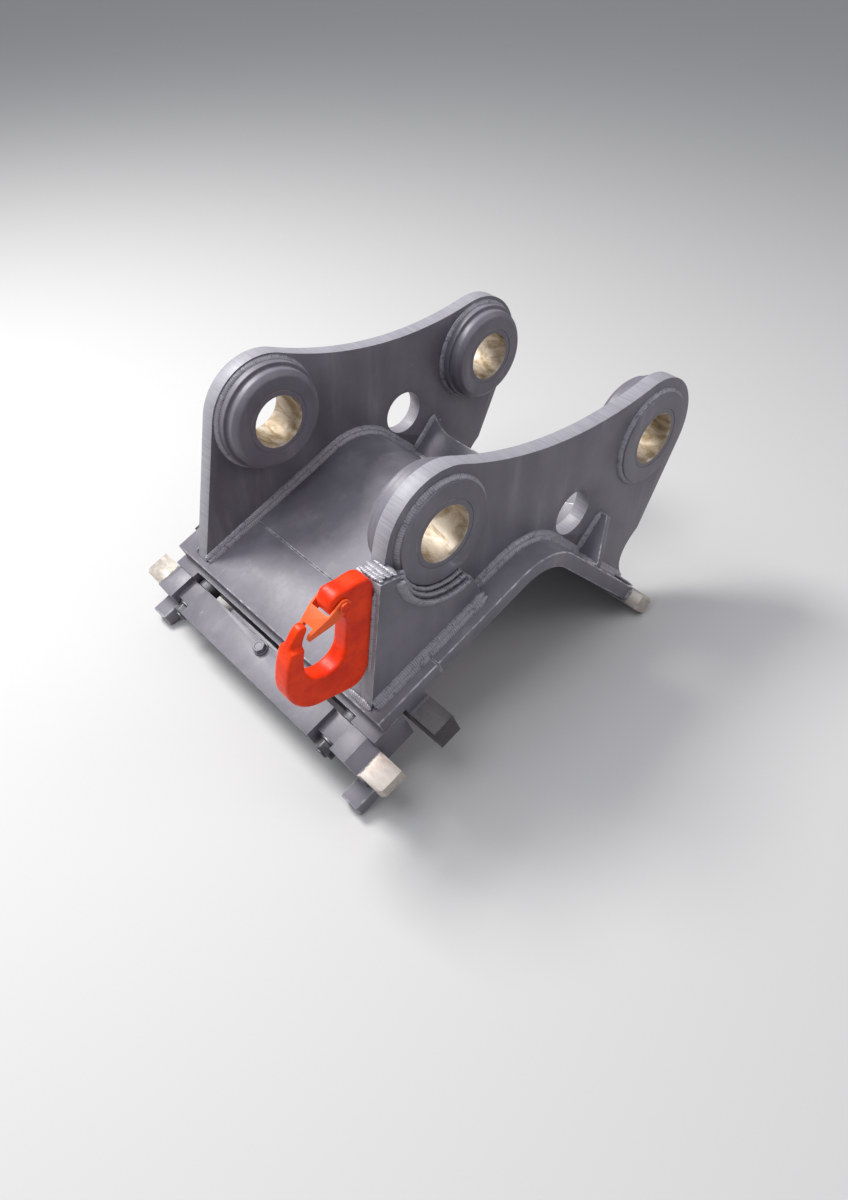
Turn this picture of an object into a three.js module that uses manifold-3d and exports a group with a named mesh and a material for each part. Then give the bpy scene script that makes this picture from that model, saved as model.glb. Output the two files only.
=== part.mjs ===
// Quick coupler for an excavator arm: a welded saddle between two side plates with four bushed
// pin bosses, a fixed rear bar, a sprung locking bar across the nose and a lifting hook.
//
// Millimetres. +X runs from the nose (locking bar) to the tail (rear bar), +Y to the left side,
// +Z up. The coupler stands on its two lock lugs and on the rear bar, which tips the line through
// the pin bosses a little down towards the tail. The origin is the middle of the bounding box's
// bottom. Pieces are drawn in three frames that lie in this one:
//   arm frame   origin on the front pin axis, x through the rear pin axis
//   nose frame  origin on the saddle's front top edge, x up the front slope, z square to it
//   tail frame  origin where the crest's round ends, x down the rear slope, z square to it

import * as THREE from 'three';
import { mergeVertices } from 'three/addons/utils/BufferGeometryUtils.js';
import Module from 'manifold-3d';

const wasm = await Module();
wasm.setup();

// ---- driving dimensions ------------------------------------------------------------------

const gap = 0.3; // air between pieces that touch
const roundSteps = 32; // facets round a full circle
const pin = { bore: 80, spacing: 458 }; // the two pins of the excavator arm

const bush = { wall: 10, sink: 0.6, chamfer: 1.5 }; // hardened sleeves, a little below the boss faces
const boss = {
  wall: 26, // from the bush to the outside of the spigot
  stepOut: 10, // wide step over the spigot, against the side plate
  stepThick: 16,
  noseOut: 4, // narrower step towards the stick
  inside: 36, // how far the boss stands in from the side plate
  outside: 8.5, // how far the spigot stands out of the side plate
  bevel: 8,
  ease: 2, // chamfer on the outer rim
  stepEase: 1.5,
};

const plate = {
  inside: 365, // between the two side plates
  thick: 25,
  frontRim: 17.7, // plate left round the front boss
  rearRim: 20.7,
  waistRadius: 690, // hollow top edge between the bosses
  frontSetback: 10, // from the saddle's front edge
  rearSetback: 9, // from the rear bar's back edge
  rearLean: 18, // degrees
  heelRise: 95, // height of the hollow above the tail
  heelCut: 44, // depth that draws the hollow in
  toe: 10,
};
const lightHole = { radius: 38, along: 15, above: 52 }; // round hole behind the crest

const saddle = {
  thick: 25,
  overhang: 47.5, // outside each side plate
  frontSlope: 27.4, // degrees
  rearSlope: 37.5,
  crestRadius: 108,
  crestX: 180, // centre of the crest's round, in the arm frame
  crestZ: -197.5,
  frontLength: 292.4, // from the crest's round to the front edge
  rearLength: 261, // from the crest's round to the rear bar
  jointAt: 116, // butt joint between nose plate and saddle, from the front edge
};

const rearBar = { wide: 43, high: 30, overhang: 27, bevel: 5 };

const beam = { front: 8, back: 36, slotInset: 50 }; // fixed beam under the nose
const lockBar = {
  back: 20, // distance ahead of the saddle's front edge
  deep: 54, // front to back, in the middle
  endDeep: 46, // beyond the grooves
  drop: 3, // top below the saddle's underside
  high: 58,
  overEdge: 7, // full section beyond the saddle's edge
  rampLong: 22,
};
const prong = { reach: 44, deep: 43, drop: 14, high: 22, shoulder: 4, bevel: 6 }; // ends that hold the tool
const groove = { aroundWasher: 2.5, deep: 11, pocket: 17 }; // over each guide rod
const rod = { inset: 67, radius: 10, depth: 28, slack: 0.4, frontEnd: 22, backEnd: 24 };
const sleeve = { wall: 9, back: 2 };
const nut = { wall: 5, high: 14 }; // from the rod to a flat
const washer = { wall: 8.5, thick: 3 };
const collar = { wall: 10, thick: 5 };
const spring = { wire: 5, aroundRod: 2, long: 50, turns: 5 };
const strip = { half: 97, thick: 6.2, high: 41, sink: 1 }; // closes the middle of the slot
const stripBolt = { headRadius: 12, headHigh: 10, radius: 5, long: 32, fromSlot: 7 };

// rear cross bar
const anvil = { gapToBeam: 9, wide: 37, prongReach: 49, lower: 2, edgeInset: 5, aroundCollar: 4 };
const lug = { wide: 34, inside: 15, ahead: 33, behind: 10, high: 25.7 }; // under the locking bar

const cheek = { thick: 22, rearAt: 232, rearHigh: 32, scoop: 16, scoopEnd: 300, top: -20 };
const gusset = { at: 93, thick: 16, high: 78, topWide: 14, footHigh: 8, edgeInset: 3 };
const rib = { high: 60, cornerHigh: 80, cornerLong: 62 };

const hook = {
  thick: 30,
  bevel: 3,
  tipThick: 15,
  pivotX: -51, // from the pad's front face
  pivotZ: -31,
  lugRadius: 19,
  throatX: -72,
  throatZ: -103,
  throatRadius: 32,
  bowlX: -76,
  bowlZ: -125,
  bowlRadius: 55,
  tipX: -102,
  tipZ: -46,
  tipNeck: 27, // length of the slim tip
  crown: 26, // height of the round at the top of the back
  crownBack: 22,
  heel: 34, // and at the bottom of it
  heelBack: 30,
  top: -8,
  bottom: -183,
};
const latch = {
  sheet: 3,
  side: 1, // air beside the hook's cheeks
  wideEnd: 8.5,
  eyeRadius: 10,
  reach: 58,
  dip: 36, // degrees below level when shut
  webFrom: 21.5,
  forkFrom: 44,
};
const latchPin = { radius: 5, slack: 0.4, headRadius: 8, headThick: 3 };
const latchSpring = { wire: 2, turns: 2, air: 0.5, aroundPin: 0.8, recess: 7.4, inRecess: 1.7 };

// ---- sizes that follow -------------------------------------------------------------------

const rad = THREE.MathUtils.degToRad;
const boreRadius = pin.bore / 2;
const bushRadius = boreRadius + bush.wall;
const spigotRadius = bushRadius + boss.wall;
const frontRadius = spigotRadius + gap + plate.frontRim;
const rearRadius = spigotRadius + gap + plate.rearRim;
const innerFace = plate.inside / 2;
const outerFace = innerFace + plate.thick;
const edge = outerFace + saddle.overhang; // half the saddle's width
const under = -saddle.thick; // saddle's underside, in the nose and tail frames
const rodY = edge - rod.inset;
const sleeveRadius = rod.radius + sleeve.wall;
const washerRadius = rod.radius + washer.wall;
const collarRadius = rod.radius + collar.wall;
const grooveHalf = washerRadius + groove.aroundWasher;
const springRadius = rod.radius + spring.aroundRod + spring.wire / 2;
const latchSpringRadius = latchPin.radius + latchSpring.aroundPin + latchSpring.wire / 2;

const vec = (x, z) => new THREE.Vector2(x, z);
const up1 = vec(Math.cos(rad(saddle.frontSlope)), Math.sin(rad(saddle.frontSlope)));
const up1Normal = vec(-up1.y, up1.x);
const down2 = vec(Math.cos(rad(saddle.rearSlope)), -Math.sin(rad(saddle.rearSlope)));
const down2Normal = vec(-down2.y, down2.x);
const crest = vec(saddle.crestX, saddle.crestZ);
const crestFront = crest.clone().addScaledVector(up1Normal, saddle.crestRadius);
const crestBack = crest.clone().addScaledVector(down2Normal, saddle.crestRadius);
const noseOrigin = crestFront.clone().addScaledVector(up1, -saddle.frontLength);

// points of the nose and tail frames, in the arm frame
const noseToArm = (x, z) => noseOrigin.clone().addScaledVector(up1, x).addScaledVector(up1Normal, z);
const tailToArm = (x, z) => crestBack.clone().addScaledVector(down2, x).addScaledVector(down2Normal, z);
const tailEnd = saddle.rearLength + gap + rearBar.wide;

// ---- materials ---------------------------------------------------------------------------

function finish(color, roughness, metalness) {
  return new THREE.MeshStandardMaterial({ color, roughness, metalness });
}

const slatePaint = () => finish(0x6d6c78, 0.5, 0.2);
const goldSteel = () => finish(0xb39b6d, 0.3, 1.0);
const zincSteel = () => finish(0x8f9095, 0.4, 0.9);
const springSteel = () => finish(0x4b4b50, 0.45, 0.8);
const orangePaint = () => finish(0xe8380f, 0.42, 0.1);

// ---- building blocks ---------------------------------------------------------------------

// closed three.js geometry to a solid and back
function toSolid(geometry) {
  const bare = geometry.clone();
  bare.deleteAttribute('normal');
  bare.deleteAttribute('uv');
  const merged = mergeVertices(bare, 1e-4);
  return new wasm.Manifold(new wasm.Mesh({
    numProp: 3,
    vertProperties: new Float32Array(merged.attributes.position.array),
    triVerts: new Uint32Array(merged.index.array),
  }));
}

function toGeometry(solid) {
  const mesh = solid.getMesh();
  const geometry = new THREE.BufferGeometry();
  geometry.setAttribute('position', new THREE.BufferAttribute(mesh.vertProperties, 3));
  geometry.setIndex(new THREE.BufferAttribute(mesh.triVerts, 1));
  return geometry;
}

function cut(geometry, ...tools) {
  let solid = toSolid(geometry);
  for (const tool of tools) solid = solid.subtract(toSolid(tool));
  return toGeometry(solid);
}

function join(geometry, ...others) {
  let solid = toSolid(geometry);
  for (const other of others) solid = solid.add(toSolid(other));
  return toGeometry(solid);
}

const common = (a, b) => toGeometry(toSolid(a).intersect(toSolid(b)));

// outline in x and z, thickness from y0 to y1
function slabXZ(shape, y0, y1, curveSegments = 12, bevel = 0) {
  const depth = y1 - y0 - 2 * bevel;
  const options = { depth, curveSegments, bevelEnabled: bevel > 0, steps: 1 };
  Object.assign(options, { bevelThickness: bevel, bevelSize: bevel, bevelOffset: -bevel, bevelSegments: 2 });
  const geometry = new THREE.ExtrudeGeometry(shape, options);
  return geometry.rotateX(Math.PI / 2).translate(0, y1 - bevel, 0);
}

// outline in y and z, thickness from x0 to x1
function slabYZ(shape, x0, x1, curveSegments = 8) {
  const geometry = new THREE.ExtrudeGeometry(shape, { depth: x1 - x0, curveSegments, bevelEnabled: false });
  return geometry.rotateX(Math.PI / 2).rotateZ(Math.PI / 2).translate(x0, 0, 0);
}

// outline in x and y, thickness from z0 to z1
function slabXY(shape, z0, z1) {
  const geometry = new THREE.ExtrudeGeometry(shape, { depth: z1 - z0, bevelEnabled: false });
  return geometry.translate(0, 0, z0);
}

function block(x0, x1, y0, y1, z0, z1) {
  const geometry = new THREE.BoxGeometry(x1 - x0, y1 - y0, z1 - z0);
  return geometry.translate((x0 + x1) / 2, (y0 + y1) / 2, (z0 + z1) / 2);
}

const polygon = (points) => new THREE.Shape(points.map(([a, b]) => vec(a, b)));

// round hole in an outline, with the same facets as the turned pieces that go through it
function roundHole(x, z, radius) {
  const points = Array.from({ length: roundSteps }, (_, step) => {
    const angle = (step / roundSteps) * 2 * Math.PI;
    return vec(x + radius * Math.cos(angle), z + radius * Math.sin(angle));
  });
  return new THREE.Path(points);
}

// round bar along x, y or z through the given point of the other two axes
function rodAlong(axis, radius, from, to, a, b, steps = roundSteps) {
  const geometry = new THREE.CylinderGeometry(radius, radius, to - from, steps);
  const middle = (from + to) / 2;
  if (axis === 'x') return geometry.rotateZ(Math.PI / 2).translate(middle, a, b);
  if (axis === 'y') return geometry.translate(a, middle, b);
  return geometry.rotateX(Math.PI / 2).translate(a, b, middle);
}

// ring turned about y: [radius, y] pairs of its closed section, in order
function turned(section, steps = roundSteps) {
  const points = section.map(([radius, y]) => vec(radius, y));
  points.push(points[0].clone());
  return new THREE.LatheGeometry(points, steps);
}

// helical wire about z from 0 to length
function coil(meanRadius, wire, length, turns, stepsPerTurn = 12) {
  class Helix extends THREE.Curve {
    getPoint(t) {
      const angle = t * turns * 2 * Math.PI;
      const z = wire / 2 + t * (length - wire);
      return new THREE.Vector3(meanRadius * Math.cos(angle), meanRadius * Math.sin(angle), z);
    }
  }
  const wireSection = new THREE.Shape().absarc(0, 0, wire / 2, 0, 2 * Math.PI);
  const steps = Math.round(turns * stepsPerTurn);
  const options = { extrudePath: new Helix(), steps, curveSegments: 3, bevelEnabled: false };
  return new THREE.ExtrudeGeometry(wireSection, options);
}

const coupler = new THREE.Group();
const armFrame = new THREE.Group();
const noseFrame = new THREE.Group();
const tailFrame = new THREE.Group();
coupler.add(armFrame);
armFrame.add(noseFrame, tailFrame);
noseFrame.position.set(noseOrigin.x, 0, noseOrigin.y);
noseFrame.rotation.y = -rad(saddle.frontSlope);
tailFrame.position.set(crestBack.x, 0, crestBack.y);
tailFrame.rotation.y = rad(saddle.rearSlope);

function addPiece(frame, name, geometry, material) {
  const mesh = new THREE.Mesh(geometry, material);
  mesh.name = name;
  frame.add(mesh);
  return mesh;
}

// right is -Y, left is +Y
const sides = [['right', -1], ['left', 1]];
const mirrored = (side, a, b) => (side > 0 ? [a, b] : [-b, -a]);

// ---- saddle ------------------------------------------------------------------------------

// top line of the saddle from one end to the other at a given height above it
function saddleLine(shape, fromNose, toTail, height) {
  const start = noseToArm(fromNose, height);
  const end = tailToArm(toTail, height);
  shape.lineTo(start.x, start.y);
  const from = Math.PI / 2 + rad(saddle.frontSlope);
  const to = Math.PI / 2 - rad(saddle.rearSlope);
  shape.absarc(crest.x, crest.y, saddle.crestRadius + height, from, to, true);
  shape.lineTo(end.x, end.y);
}

function saddlePlateShape() {
  const shape = new THREE.Shape();
  const first = noseToArm(saddle.jointAt + gap, under);
  shape.moveTo(first.x, first.y);
  saddleLine(shape, saddle.jointAt + gap, saddle.rearLength, 0);
  const low = tailToArm(saddle.rearLength, under);
  shape.lineTo(low.x, low.y);
  const from = Math.PI / 2 - rad(saddle.rearSlope);
  const to = Math.PI / 2 + rad(saddle.frontSlope);
  shape.absarc(crest.x, crest.y, saddle.crestRadius + under, from, to, false);
  return shape;
}

function buildSaddle() {
  const nosePlate = block(0, saddle.jointAt, -edge, edge, under, 0);
  addPiece(noseFrame, 'saddle_nose_plate', nosePlate, slatePaint());
  addPiece(armFrame, 'saddle_plate', slabXZ(saddlePlateShape(), -edge, edge, 10), slatePaint());

  const half = edge + rearBar.overhang;
  const end = saddle.rearLength + gap;
  const bar = polygon([
    [-half + rearBar.bevel, 0], [half - rearBar.bevel, 0], [half, -rearBar.bevel],
    [half, -rearBar.high], [-half, -rearBar.high], [-half, -rearBar.bevel],
  ]);
  addPiece(tailFrame, 'rear_bar', slabYZ(bar, end, end + rearBar.wide), slatePaint());
}

// ---- side plates -------------------------------------------------------------------------

const frontFoot = noseToArm(plate.frontSetback, gap);

// where a line from a point below touches a circle about the front pin, on its nose side
function frontTangent() {
  const distance = frontFoot.length();
  const angle = frontFoot.angle() - Math.acos(frontRadius / distance);
  return vec(frontRadius * Math.cos(angle), frontRadius * Math.sin(angle));
}

function sidePlateShape() {
  const shape = new THREE.Shape();
  shape.moveTo(frontFoot.x, frontFoot.y);
  const touch = frontTangent();
  shape.lineTo(touch.x, touch.y);

  // waist circle that touches both boss rounds from above
  const toFront = plate.waistRadius + frontRadius;
  const toRear = plate.waistRadius + rearRadius;
  const waistX = (pin.spacing ** 2 + toFront ** 2 - toRear ** 2) / (2 * pin.spacing);
  const waistZ = Math.sqrt(toFront ** 2 - waistX ** 2);
  const frontAngle = Math.atan2(waistZ, waistX);
  const rearAngle = Math.atan2(waistZ, waistX - pin.spacing);
  shape.absarc(0, 0, frontRadius, touch.angle(), frontAngle, true);
  shape.absarc(waistX, waistZ, plate.waistRadius, frontAngle - Math.PI, rearAngle - Math.PI, false);
  shape.absarc(pin.spacing, 0, rearRadius, rearAngle, -rad(plate.rearLean), true);

  // leaning rear edge, hollow heel and a short toe on the rear bar
  const foot = tailToArm(tailEnd - plate.rearSetback, gap);
  const toe = tailToArm(tailEnd - plate.rearSetback, plate.toe);
  const lean = vec(-Math.sin(rad(plate.rearLean)), -Math.cos(rad(plate.rearLean)));
  const rearTouch = vec(pin.spacing + rearRadius * Math.cos(rad(plate.rearLean)), rearRadius * lean.x);
  const heelZ = toe.y + plate.heelRise;
  const heelX = rearTouch.x + ((heelZ - rearTouch.y) / lean.y) * lean.x;
  shape.lineTo(heelX, heelZ);
  const pull = vec((heelX + toe.x) / 2 - plate.heelCut, (heelZ + toe.y) / 2);
  shape.quadraticCurveTo(pull.x, pull.y, toe.x, toe.y);
  shape.lineTo(foot.x, foot.y);

  // bottom edge back to the nose along the saddle
  const from = Math.PI / 2 - rad(saddle.rearSlope);
  const to = Math.PI / 2 + rad(saddle.frontSlope);
  shape.absarc(crest.x, crest.y, saddle.crestRadius + gap, from, to, false);

  const hole = tailToArm(lightHole.along, lightHole.above);
  const openings = [[0, 0, spigotRadius + gap], [pin.spacing, 0, spigotRadius + gap]];
  openings.push([hole.x, hole.y, lightHole.radius]);
  for (const [x, z, radius] of openings) {
    shape.holes.push(roundHole(x, z, radius));
  }
  return shape;
}

// turned boss through the side plate, with its hardened bush; y runs outwards
function bossSection() {
  const inside = innerFace - boss.inside;
  const outside = outerFace + boss.outside;
  const step = innerFace - gap;
  const noseRadius = spigotRadius + boss.noseOut;
  const hole = bushRadius + gap;
  return [
    [hole, inside], [noseRadius - boss.bevel, inside], [noseRadius, inside + boss.bevel],
    [noseRadius, step - boss.stepThick],
    [spigotRadius + boss.stepOut, step - boss.stepThick + boss.stepEase],
    [spigotRadius + boss.stepOut, step], [spigotRadius, step], [spigotRadius, outside - boss.ease],
    [spigotRadius - boss.ease, outside], [hole, outside],
  ];
}

function bushSection() {
  const inside = innerFace - boss.inside + bush.sink;
  const outside = outerFace + boss.outside - bush.sink;
  return [
    [boreRadius, inside + bush.chamfer], [boreRadius + bush.chamfer, inside], [bushRadius, inside],
    [bushRadius, outside], [boreRadius + bush.chamfer, outside], [boreRadius, outside - bush.chamfer],
  ];
}

function buildSidePlates() {
  for (const [word, side] of sides) {
    const [y0, y1] = mirrored(side, innerFace, outerFace);
    addPiece(armFrame, `side_plate_${word}`, slabXZ(sidePlateShape(), y0, y1, 12), slatePaint());
    for (const [place, x] of [['front', 0], ['rear', pin.spacing]]) {
      const turn = side > 0 ? 0 : Math.PI;
      const ring = turned(bossSection()).rotateX(turn).translate(x, 0, 0);
      const liner = turned(bushSection()).rotateX(turn).translate(x, 0, 0);
      addPiece(armFrame, `${place}_boss_${word}`, ring, slatePaint());
      addPiece(armFrame, `${place}_bush_${word}`, liner, goldSteel());
    }
  }
}

// ---- stiffeners --------------------------------------------------------------------------

const padFront = frontFoot.x; // upright face that carries the hook

// cheek plate on the hook side, scooped round the front boss
function cheekShape() {
  const radius = spigotRadius + cheek.scoop;
  const start = Math.PI + Math.asin(-cheek.top / radius);
  const shape = new THREE.Shape();
  const foot = noseToArm(plate.frontSetback + 2 * gap, gap);
  const corner = noseToArm(cheek.rearAt, cheek.rearHigh);
  const rearFoot = noseToArm(cheek.rearAt, gap);
  shape.moveTo(padFront, foot.y);
  shape.lineTo(padFront, cheek.top);
  shape.absarc(0, 0, radius, start, rad(cheek.scoopEnd), false);
  shape.lineTo(corner.x, corner.y);
  shape.lineTo(rearFoot.x, rearFoot.y);
  shape.lineTo(foot.x, foot.y);
  return shape;
}

// wedge between the leaning plate edge and the upright hook
function hookPadShape() {
  const touch = frontTangent();
  const lean = (touch.x - frontFoot.x) / (touch.y - frontFoot.y);
  const edgeAt = (z) => frontFoot.x + lean * (z - frontFoot.y) - gap;
  const thinEnd = 5;
  const low = frontFoot.y + (thinEnd + gap) / lean;
  return polygon([
    [padFront, cheek.top], [edgeAt(cheek.top), cheek.top], [edgeAt(low), low], [padFront, low],
  ]);
}

function buildStiffeners() {
  const cheekPlate = slabXZ(cheekShape(), -outerFace - gap - cheek.thick, -outerFace - gap, 12);
  addPiece(armFrame, 'cheek_plate', cheekPlate, slatePaint());
  addPiece(armFrame, 'hook_pad', slabXZ(hookPadShape(), -outerFace, -innerFace), slatePaint());

  const outer = polygon([
    [outerFace + gap, gap], [edge - gusset.edgeInset, gap], [edge - gusset.edgeInset, gusset.footHigh],
    [outerFace + gusset.topWide, gusset.high], [outerFace + gap, gusset.high],
  ]);
  for (const [word, side] of sides) {
    const web = slabYZ(outer, gusset.at, gusset.at + gusset.thick);
    if (side < 0) web.rotateZ(Math.PI).translate(2 * gusset.at + gusset.thick, 0, 0);
    addPiece(tailFrame, `gusset_${word}`, web, slatePaint());
  }

  const half = innerFace - gap;
  const across = new THREE.Shape();
  across.moveTo(-half, gap);
  across.lineTo(half, gap);
  across.lineTo(half, rib.cornerHigh);
  across.quadraticCurveTo(half - rib.cornerLong / 2, rib.high, half - rib.cornerLong, rib.high);
  across.lineTo(-half + rib.cornerLong, rib.high);
  across.quadraticCurveTo(-half + rib.cornerLong / 2, rib.high, -half, rib.cornerHigh);
  addPiece(tailFrame, 'cross_rib', slabYZ(across, gusset.at, gusset.at + gusset.thick, 6), slatePaint());
}

// ---- nose: beam, anvil and locking bar ---------------------------------------------------

const barTop = under - lockBar.drop;
const barBottom = barTop - lockBar.high;
const barBack = -lockBar.back;
const barFront = barBack - lockBar.deep;
const rodZ = barTop - rod.depth;
const prongTop = barTop - prong.drop;
const beamTop = under - gap;
const anvilFront = beam.back + anvil.gapToBeam;
const anvilBack = anvilFront + anvil.wide;
const beamEnd = barBack + gap; // the beam's outer ends come up to the locking bar
const pocketFront = barFront + groove.pocket; // face that the front washers sit on

function buildBeam() {
  const slotHalf = edge - beam.slotInset;
  let bar = block(-beam.front, beam.back, -edge, edge, barBottom, beamTop);
  const ends = sides.map(([, side]) => {
    const [y0, y1] = mirrored(side, slotHalf, edge);
    return block(beamEnd, beam.back, y0, y1, barBottom, beamTop);
  });
  bar = join(bar, ...ends);
  const bores = sides.map(([, side]) =>
    rodAlong('x', sleeveRadius + gap, beamEnd - 1, beam.back + 1, side * rodY, rodZ));
  addPiece(noseFrame, 'nose_beam', cut(bar, ...bores), slatePaint());

  const reach = edge + anvil.prongReach;
  const inner = edge - anvil.edgeInset;
  const low = barBottom - anvil.lower;
  const front = polygon([
    [-reach, low], [reach, low], [reach, prongTop], [inner, prongTop],
    [inner, beamTop], [-inner, beamTop], [-inner, prongTop], [-reach, prongTop],
  ]);
  const tunnels = sides.map(([, side]) =>
    rodAlong('x', collarRadius + anvil.aroundCollar, anvilFront - 1, anvilBack + 1, side * rodY, rodZ));
  addPiece(noseFrame, 'anvil_bar', cut(slabYZ(front, anvilFront, anvilBack), ...tunnels), slatePaint());
}

// plan of the locking bar: pockets over the rods, slimmer beyond them, bare prongs at the ends
function lockBarPlan() {
  const half = [
    [barFront, 0], [barFront, rodY - grooveHalf], [pocketFront, rodY - grooveHalf],
    [pocketFront, rodY + grooveHalf], [barBack - lockBar.endDeep, rodY + grooveHalf],
    [barBack - lockBar.endDeep, edge + lockBar.overEdge],
    [barBack - prong.deep, edge + lockBar.overEdge + prong.shoulder],
    [barBack - prong.deep, edge + lockBar.overEdge + prong.reach - prong.bevel],
    [barBack - prong.deep + prong.bevel, edge + lockBar.overEdge + prong.reach],
    [barBack, edge + lockBar.overEdge + prong.reach],
  ];
  const other = half.slice(1).reverse().map(([x, y]) => [x, -y]);
  return polygon([...other, ...half]);
}

// view of the locking bar from the front
function lockBarFace() {
  const root = edge + lockBar.overEdge;
  const half = [
    [rodY - grooveHalf, barTop], [rodY - grooveHalf, barTop - groove.deep],
    [rodY + grooveHalf, barTop - groove.deep], [rodY + grooveHalf, barTop],
    [root - lockBar.rampLong, barTop], [root, prongTop], [root + prong.reach, prongTop],
    [root + prong.reach, prongTop - prong.high], [root, prongTop - prong.high], [root, barBottom],
  ];
  const other = half.slice().reverse().map(([y, z]) => [-y, z]);
  return polygon([...other, ...half]);
}

function buildLockingBar() {
  const reach = edge + lockBar.overEdge + prong.reach;
  const plan = slabXY(lockBarPlan(), barBottom - 1, barTop + 1);
  const face = slabYZ(lockBarFace(), barFront - 1, barBack + 1);
  const boltX = barBack - stripBolt.fromSlot;
  const boltEnd = barTop + gap - stripBolt.long;
  const holes = sides.map(([, side]) =>
    rodAlong('x', rod.radius + rod.slack, -reach, 0, side * rodY, rodZ));
  holes.push(rodAlong('z', stripBolt.radius + gap, boltEnd - 1, barTop + 1, boltX, 0));
  addPiece(noseFrame, 'locking_bar', cut(common(plan, face), ...holes), slatePaint());

  for (const [word, side] of sides) {
    const [y0, y1] = mirrored(side, edge - lug.inside, edge - lug.inside + lug.wide);
    const front = barBack - lockBar.endDeep - lug.ahead;
    const top = barBottom - gap;
    const foot = block(front, barBack - lug.behind, y0, y1, top - lug.high, top);
    addPiece(noseFrame, `lock_lug_${word}`, foot, slatePaint());
  }

  const stripBack = barBack + gap;
  const stripTop = barTop - strip.sink;
  const keeperFace = polygon([
    [-strip.half, stripTop - strip.high], [strip.half, stripTop - strip.high],
    [strip.half, stripTop], [-strip.half, stripTop],
  ]);
  addPiece(noseFrame, 'slot_strip', slabYZ(keeperFace, stripBack, stripBack + strip.thick), slatePaint());
  const seat = barTop + gap;
  const head = rodAlong('z', stripBolt.headRadius, seat, seat + stripBolt.headHigh, boltX, 0, 24);
  const shank = rodAlong('z', stripBolt.radius, boltEnd, seat + 1, boltX, 0, 16);
  addPiece(noseFrame, 'strip_bolt', join(head, shank), zincSteel());
}

// flat ring about x
function ringAlongX(radius, hole, from, thick, y, z, steps = 20) {
  const ring = turned([[hole, 0], [radius, 0], [radius, thick], [hole, thick]], steps);
  return ring.rotateZ(-Math.PI / 2).translate(from, y, z);
}

// hexagon nut about x
function nutAlongX(from, y, z) {
  const corner = (2 * (rod.radius + nut.wall)) / Math.sqrt(3);
  const hexagon = new THREE.CylinderGeometry(corner, corner, nut.high, 6).rotateZ(Math.PI / 2);
  hexagon.translate(from + nut.high / 2, y, z);
  return cut(hexagon, rodAlong('x', rod.radius + gap, from - 1, from + nut.high + 1, y, z, 20));
}

function buildGuides() {
  const washerAt = pocketFront - gap - washer.thick;
  const frontNutAt = washerAt - gap - nut.high;
  const sleeveFront = beamEnd + gap;
  const sleeveBack = beam.back - sleeve.back;
  const springAt = sleeveBack + gap;
  const collarAt = springAt + spring.long + gap;
  const backNutAt = collarAt + collar.thick + gap;
  const hole = rod.radius + rod.slack;
  for (const [word, side] of sides) {
    const y = side * rodY;
    const sleeveLong = sleeveBack - sleeveFront;
    const liner = ringAlongX(sleeveRadius, hole, sleeveFront, sleeveLong, y, rodZ, 24);
    const rodFrom = pocketFront - rod.frontEnd;
    const bar = rodAlong('x', rod.radius, rodFrom, backNutAt + rod.backEnd - gap, y, rodZ, 24);
    const wire = coil(springRadius, spring.wire, spring.long, spring.turns);
    wire.rotateY(Math.PI / 2).translate(springAt, y, rodZ);
    const flat = ringAlongX(washerRadius, rod.radius + gap, washerAt, washer.thick, y, rodZ);
    const hood = ringAlongX(collarRadius, rod.radius + gap, collarAt, collar.thick, y, rodZ);
    addPiece(noseFrame, `guide_sleeve_${word}`, liner, zincSteel());
    addPiece(noseFrame, `guide_rod_${word}`, bar, zincSteel());
    addPiece(noseFrame, `front_washer_${word}`, flat, zincSteel());
    addPiece(noseFrame, `front_nut_${word}`, nutAlongX(frontNutAt, y, rodZ), zincSteel());
    addPiece(noseFrame, `lock_spring_${word}`, wire, springSteel());
    addPiece(noseFrame, `spring_collar_${word}`, hood, zincSteel());
    addPiece(noseFrame, `back_nut_${word}`, nutAlongX(backNutAt, y, rodZ), zincSteel());
  }
}

// ---- lifting hook ------------------------------------------------------------------------

const hookY = -(innerFace + outerFace + gap + cheek.thick) / 2; // middle of pad and cheek plate
const pivot = vec(padFront + hook.pivotX, hook.pivotZ);

function hookShape() {
  const back = padFront - gap;
  const throat = vec(padFront + hook.throatX, hook.throatZ);
  const bowl = vec(padFront + hook.bowlX, hook.bowlZ);
  const tip = vec(padFront + hook.tipX, hook.tipZ);
  const shape = new THREE.Shape();
  shape.moveTo(back, hook.top - hook.crown);
  shape.quadraticCurveTo(back, hook.top, back - hook.crownBack, hook.top);
  shape.absarc(pivot.x, pivot.y, hook.lugRadius, rad(75), rad(270), false);
  // throat from the neck round to the inside of the tip
  shape.quadraticCurveTo(throat.x + hook.throatRadius + 2, pivot.y - hook.lugRadius - 4,
    throat.x + hook.throatRadius, throat.y + 12);
  shape.absarc(throat.x, throat.y, hook.throatRadius, rad(8), rad(180), true);
  shape.quadraticCurveTo(throat.x - hook.throatRadius - 3, throat.y + 30, tip.x + 7, tip.y - 6);
  shape.quadraticCurveTo(tip.x + 6, tip.y + 4, tip.x - 6, tip.y - 1);
  // outside of the bowl to the weld-on back
  shape.quadraticCurveTo(bowl.x - hook.bowlRadius, tip.y - 28, bowl.x - hook.bowlRadius, bowl.y);
  shape.absarc(bowl.x, bowl.y, hook.bowlRadius, rad(190), rad(275), false);
  shape.lineTo(back - hook.heelBack, hook.bottom);
  shape.quadraticCurveTo(back - 4, hook.bottom, back, hook.bottom + hook.heel);
  return shape;
}

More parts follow.
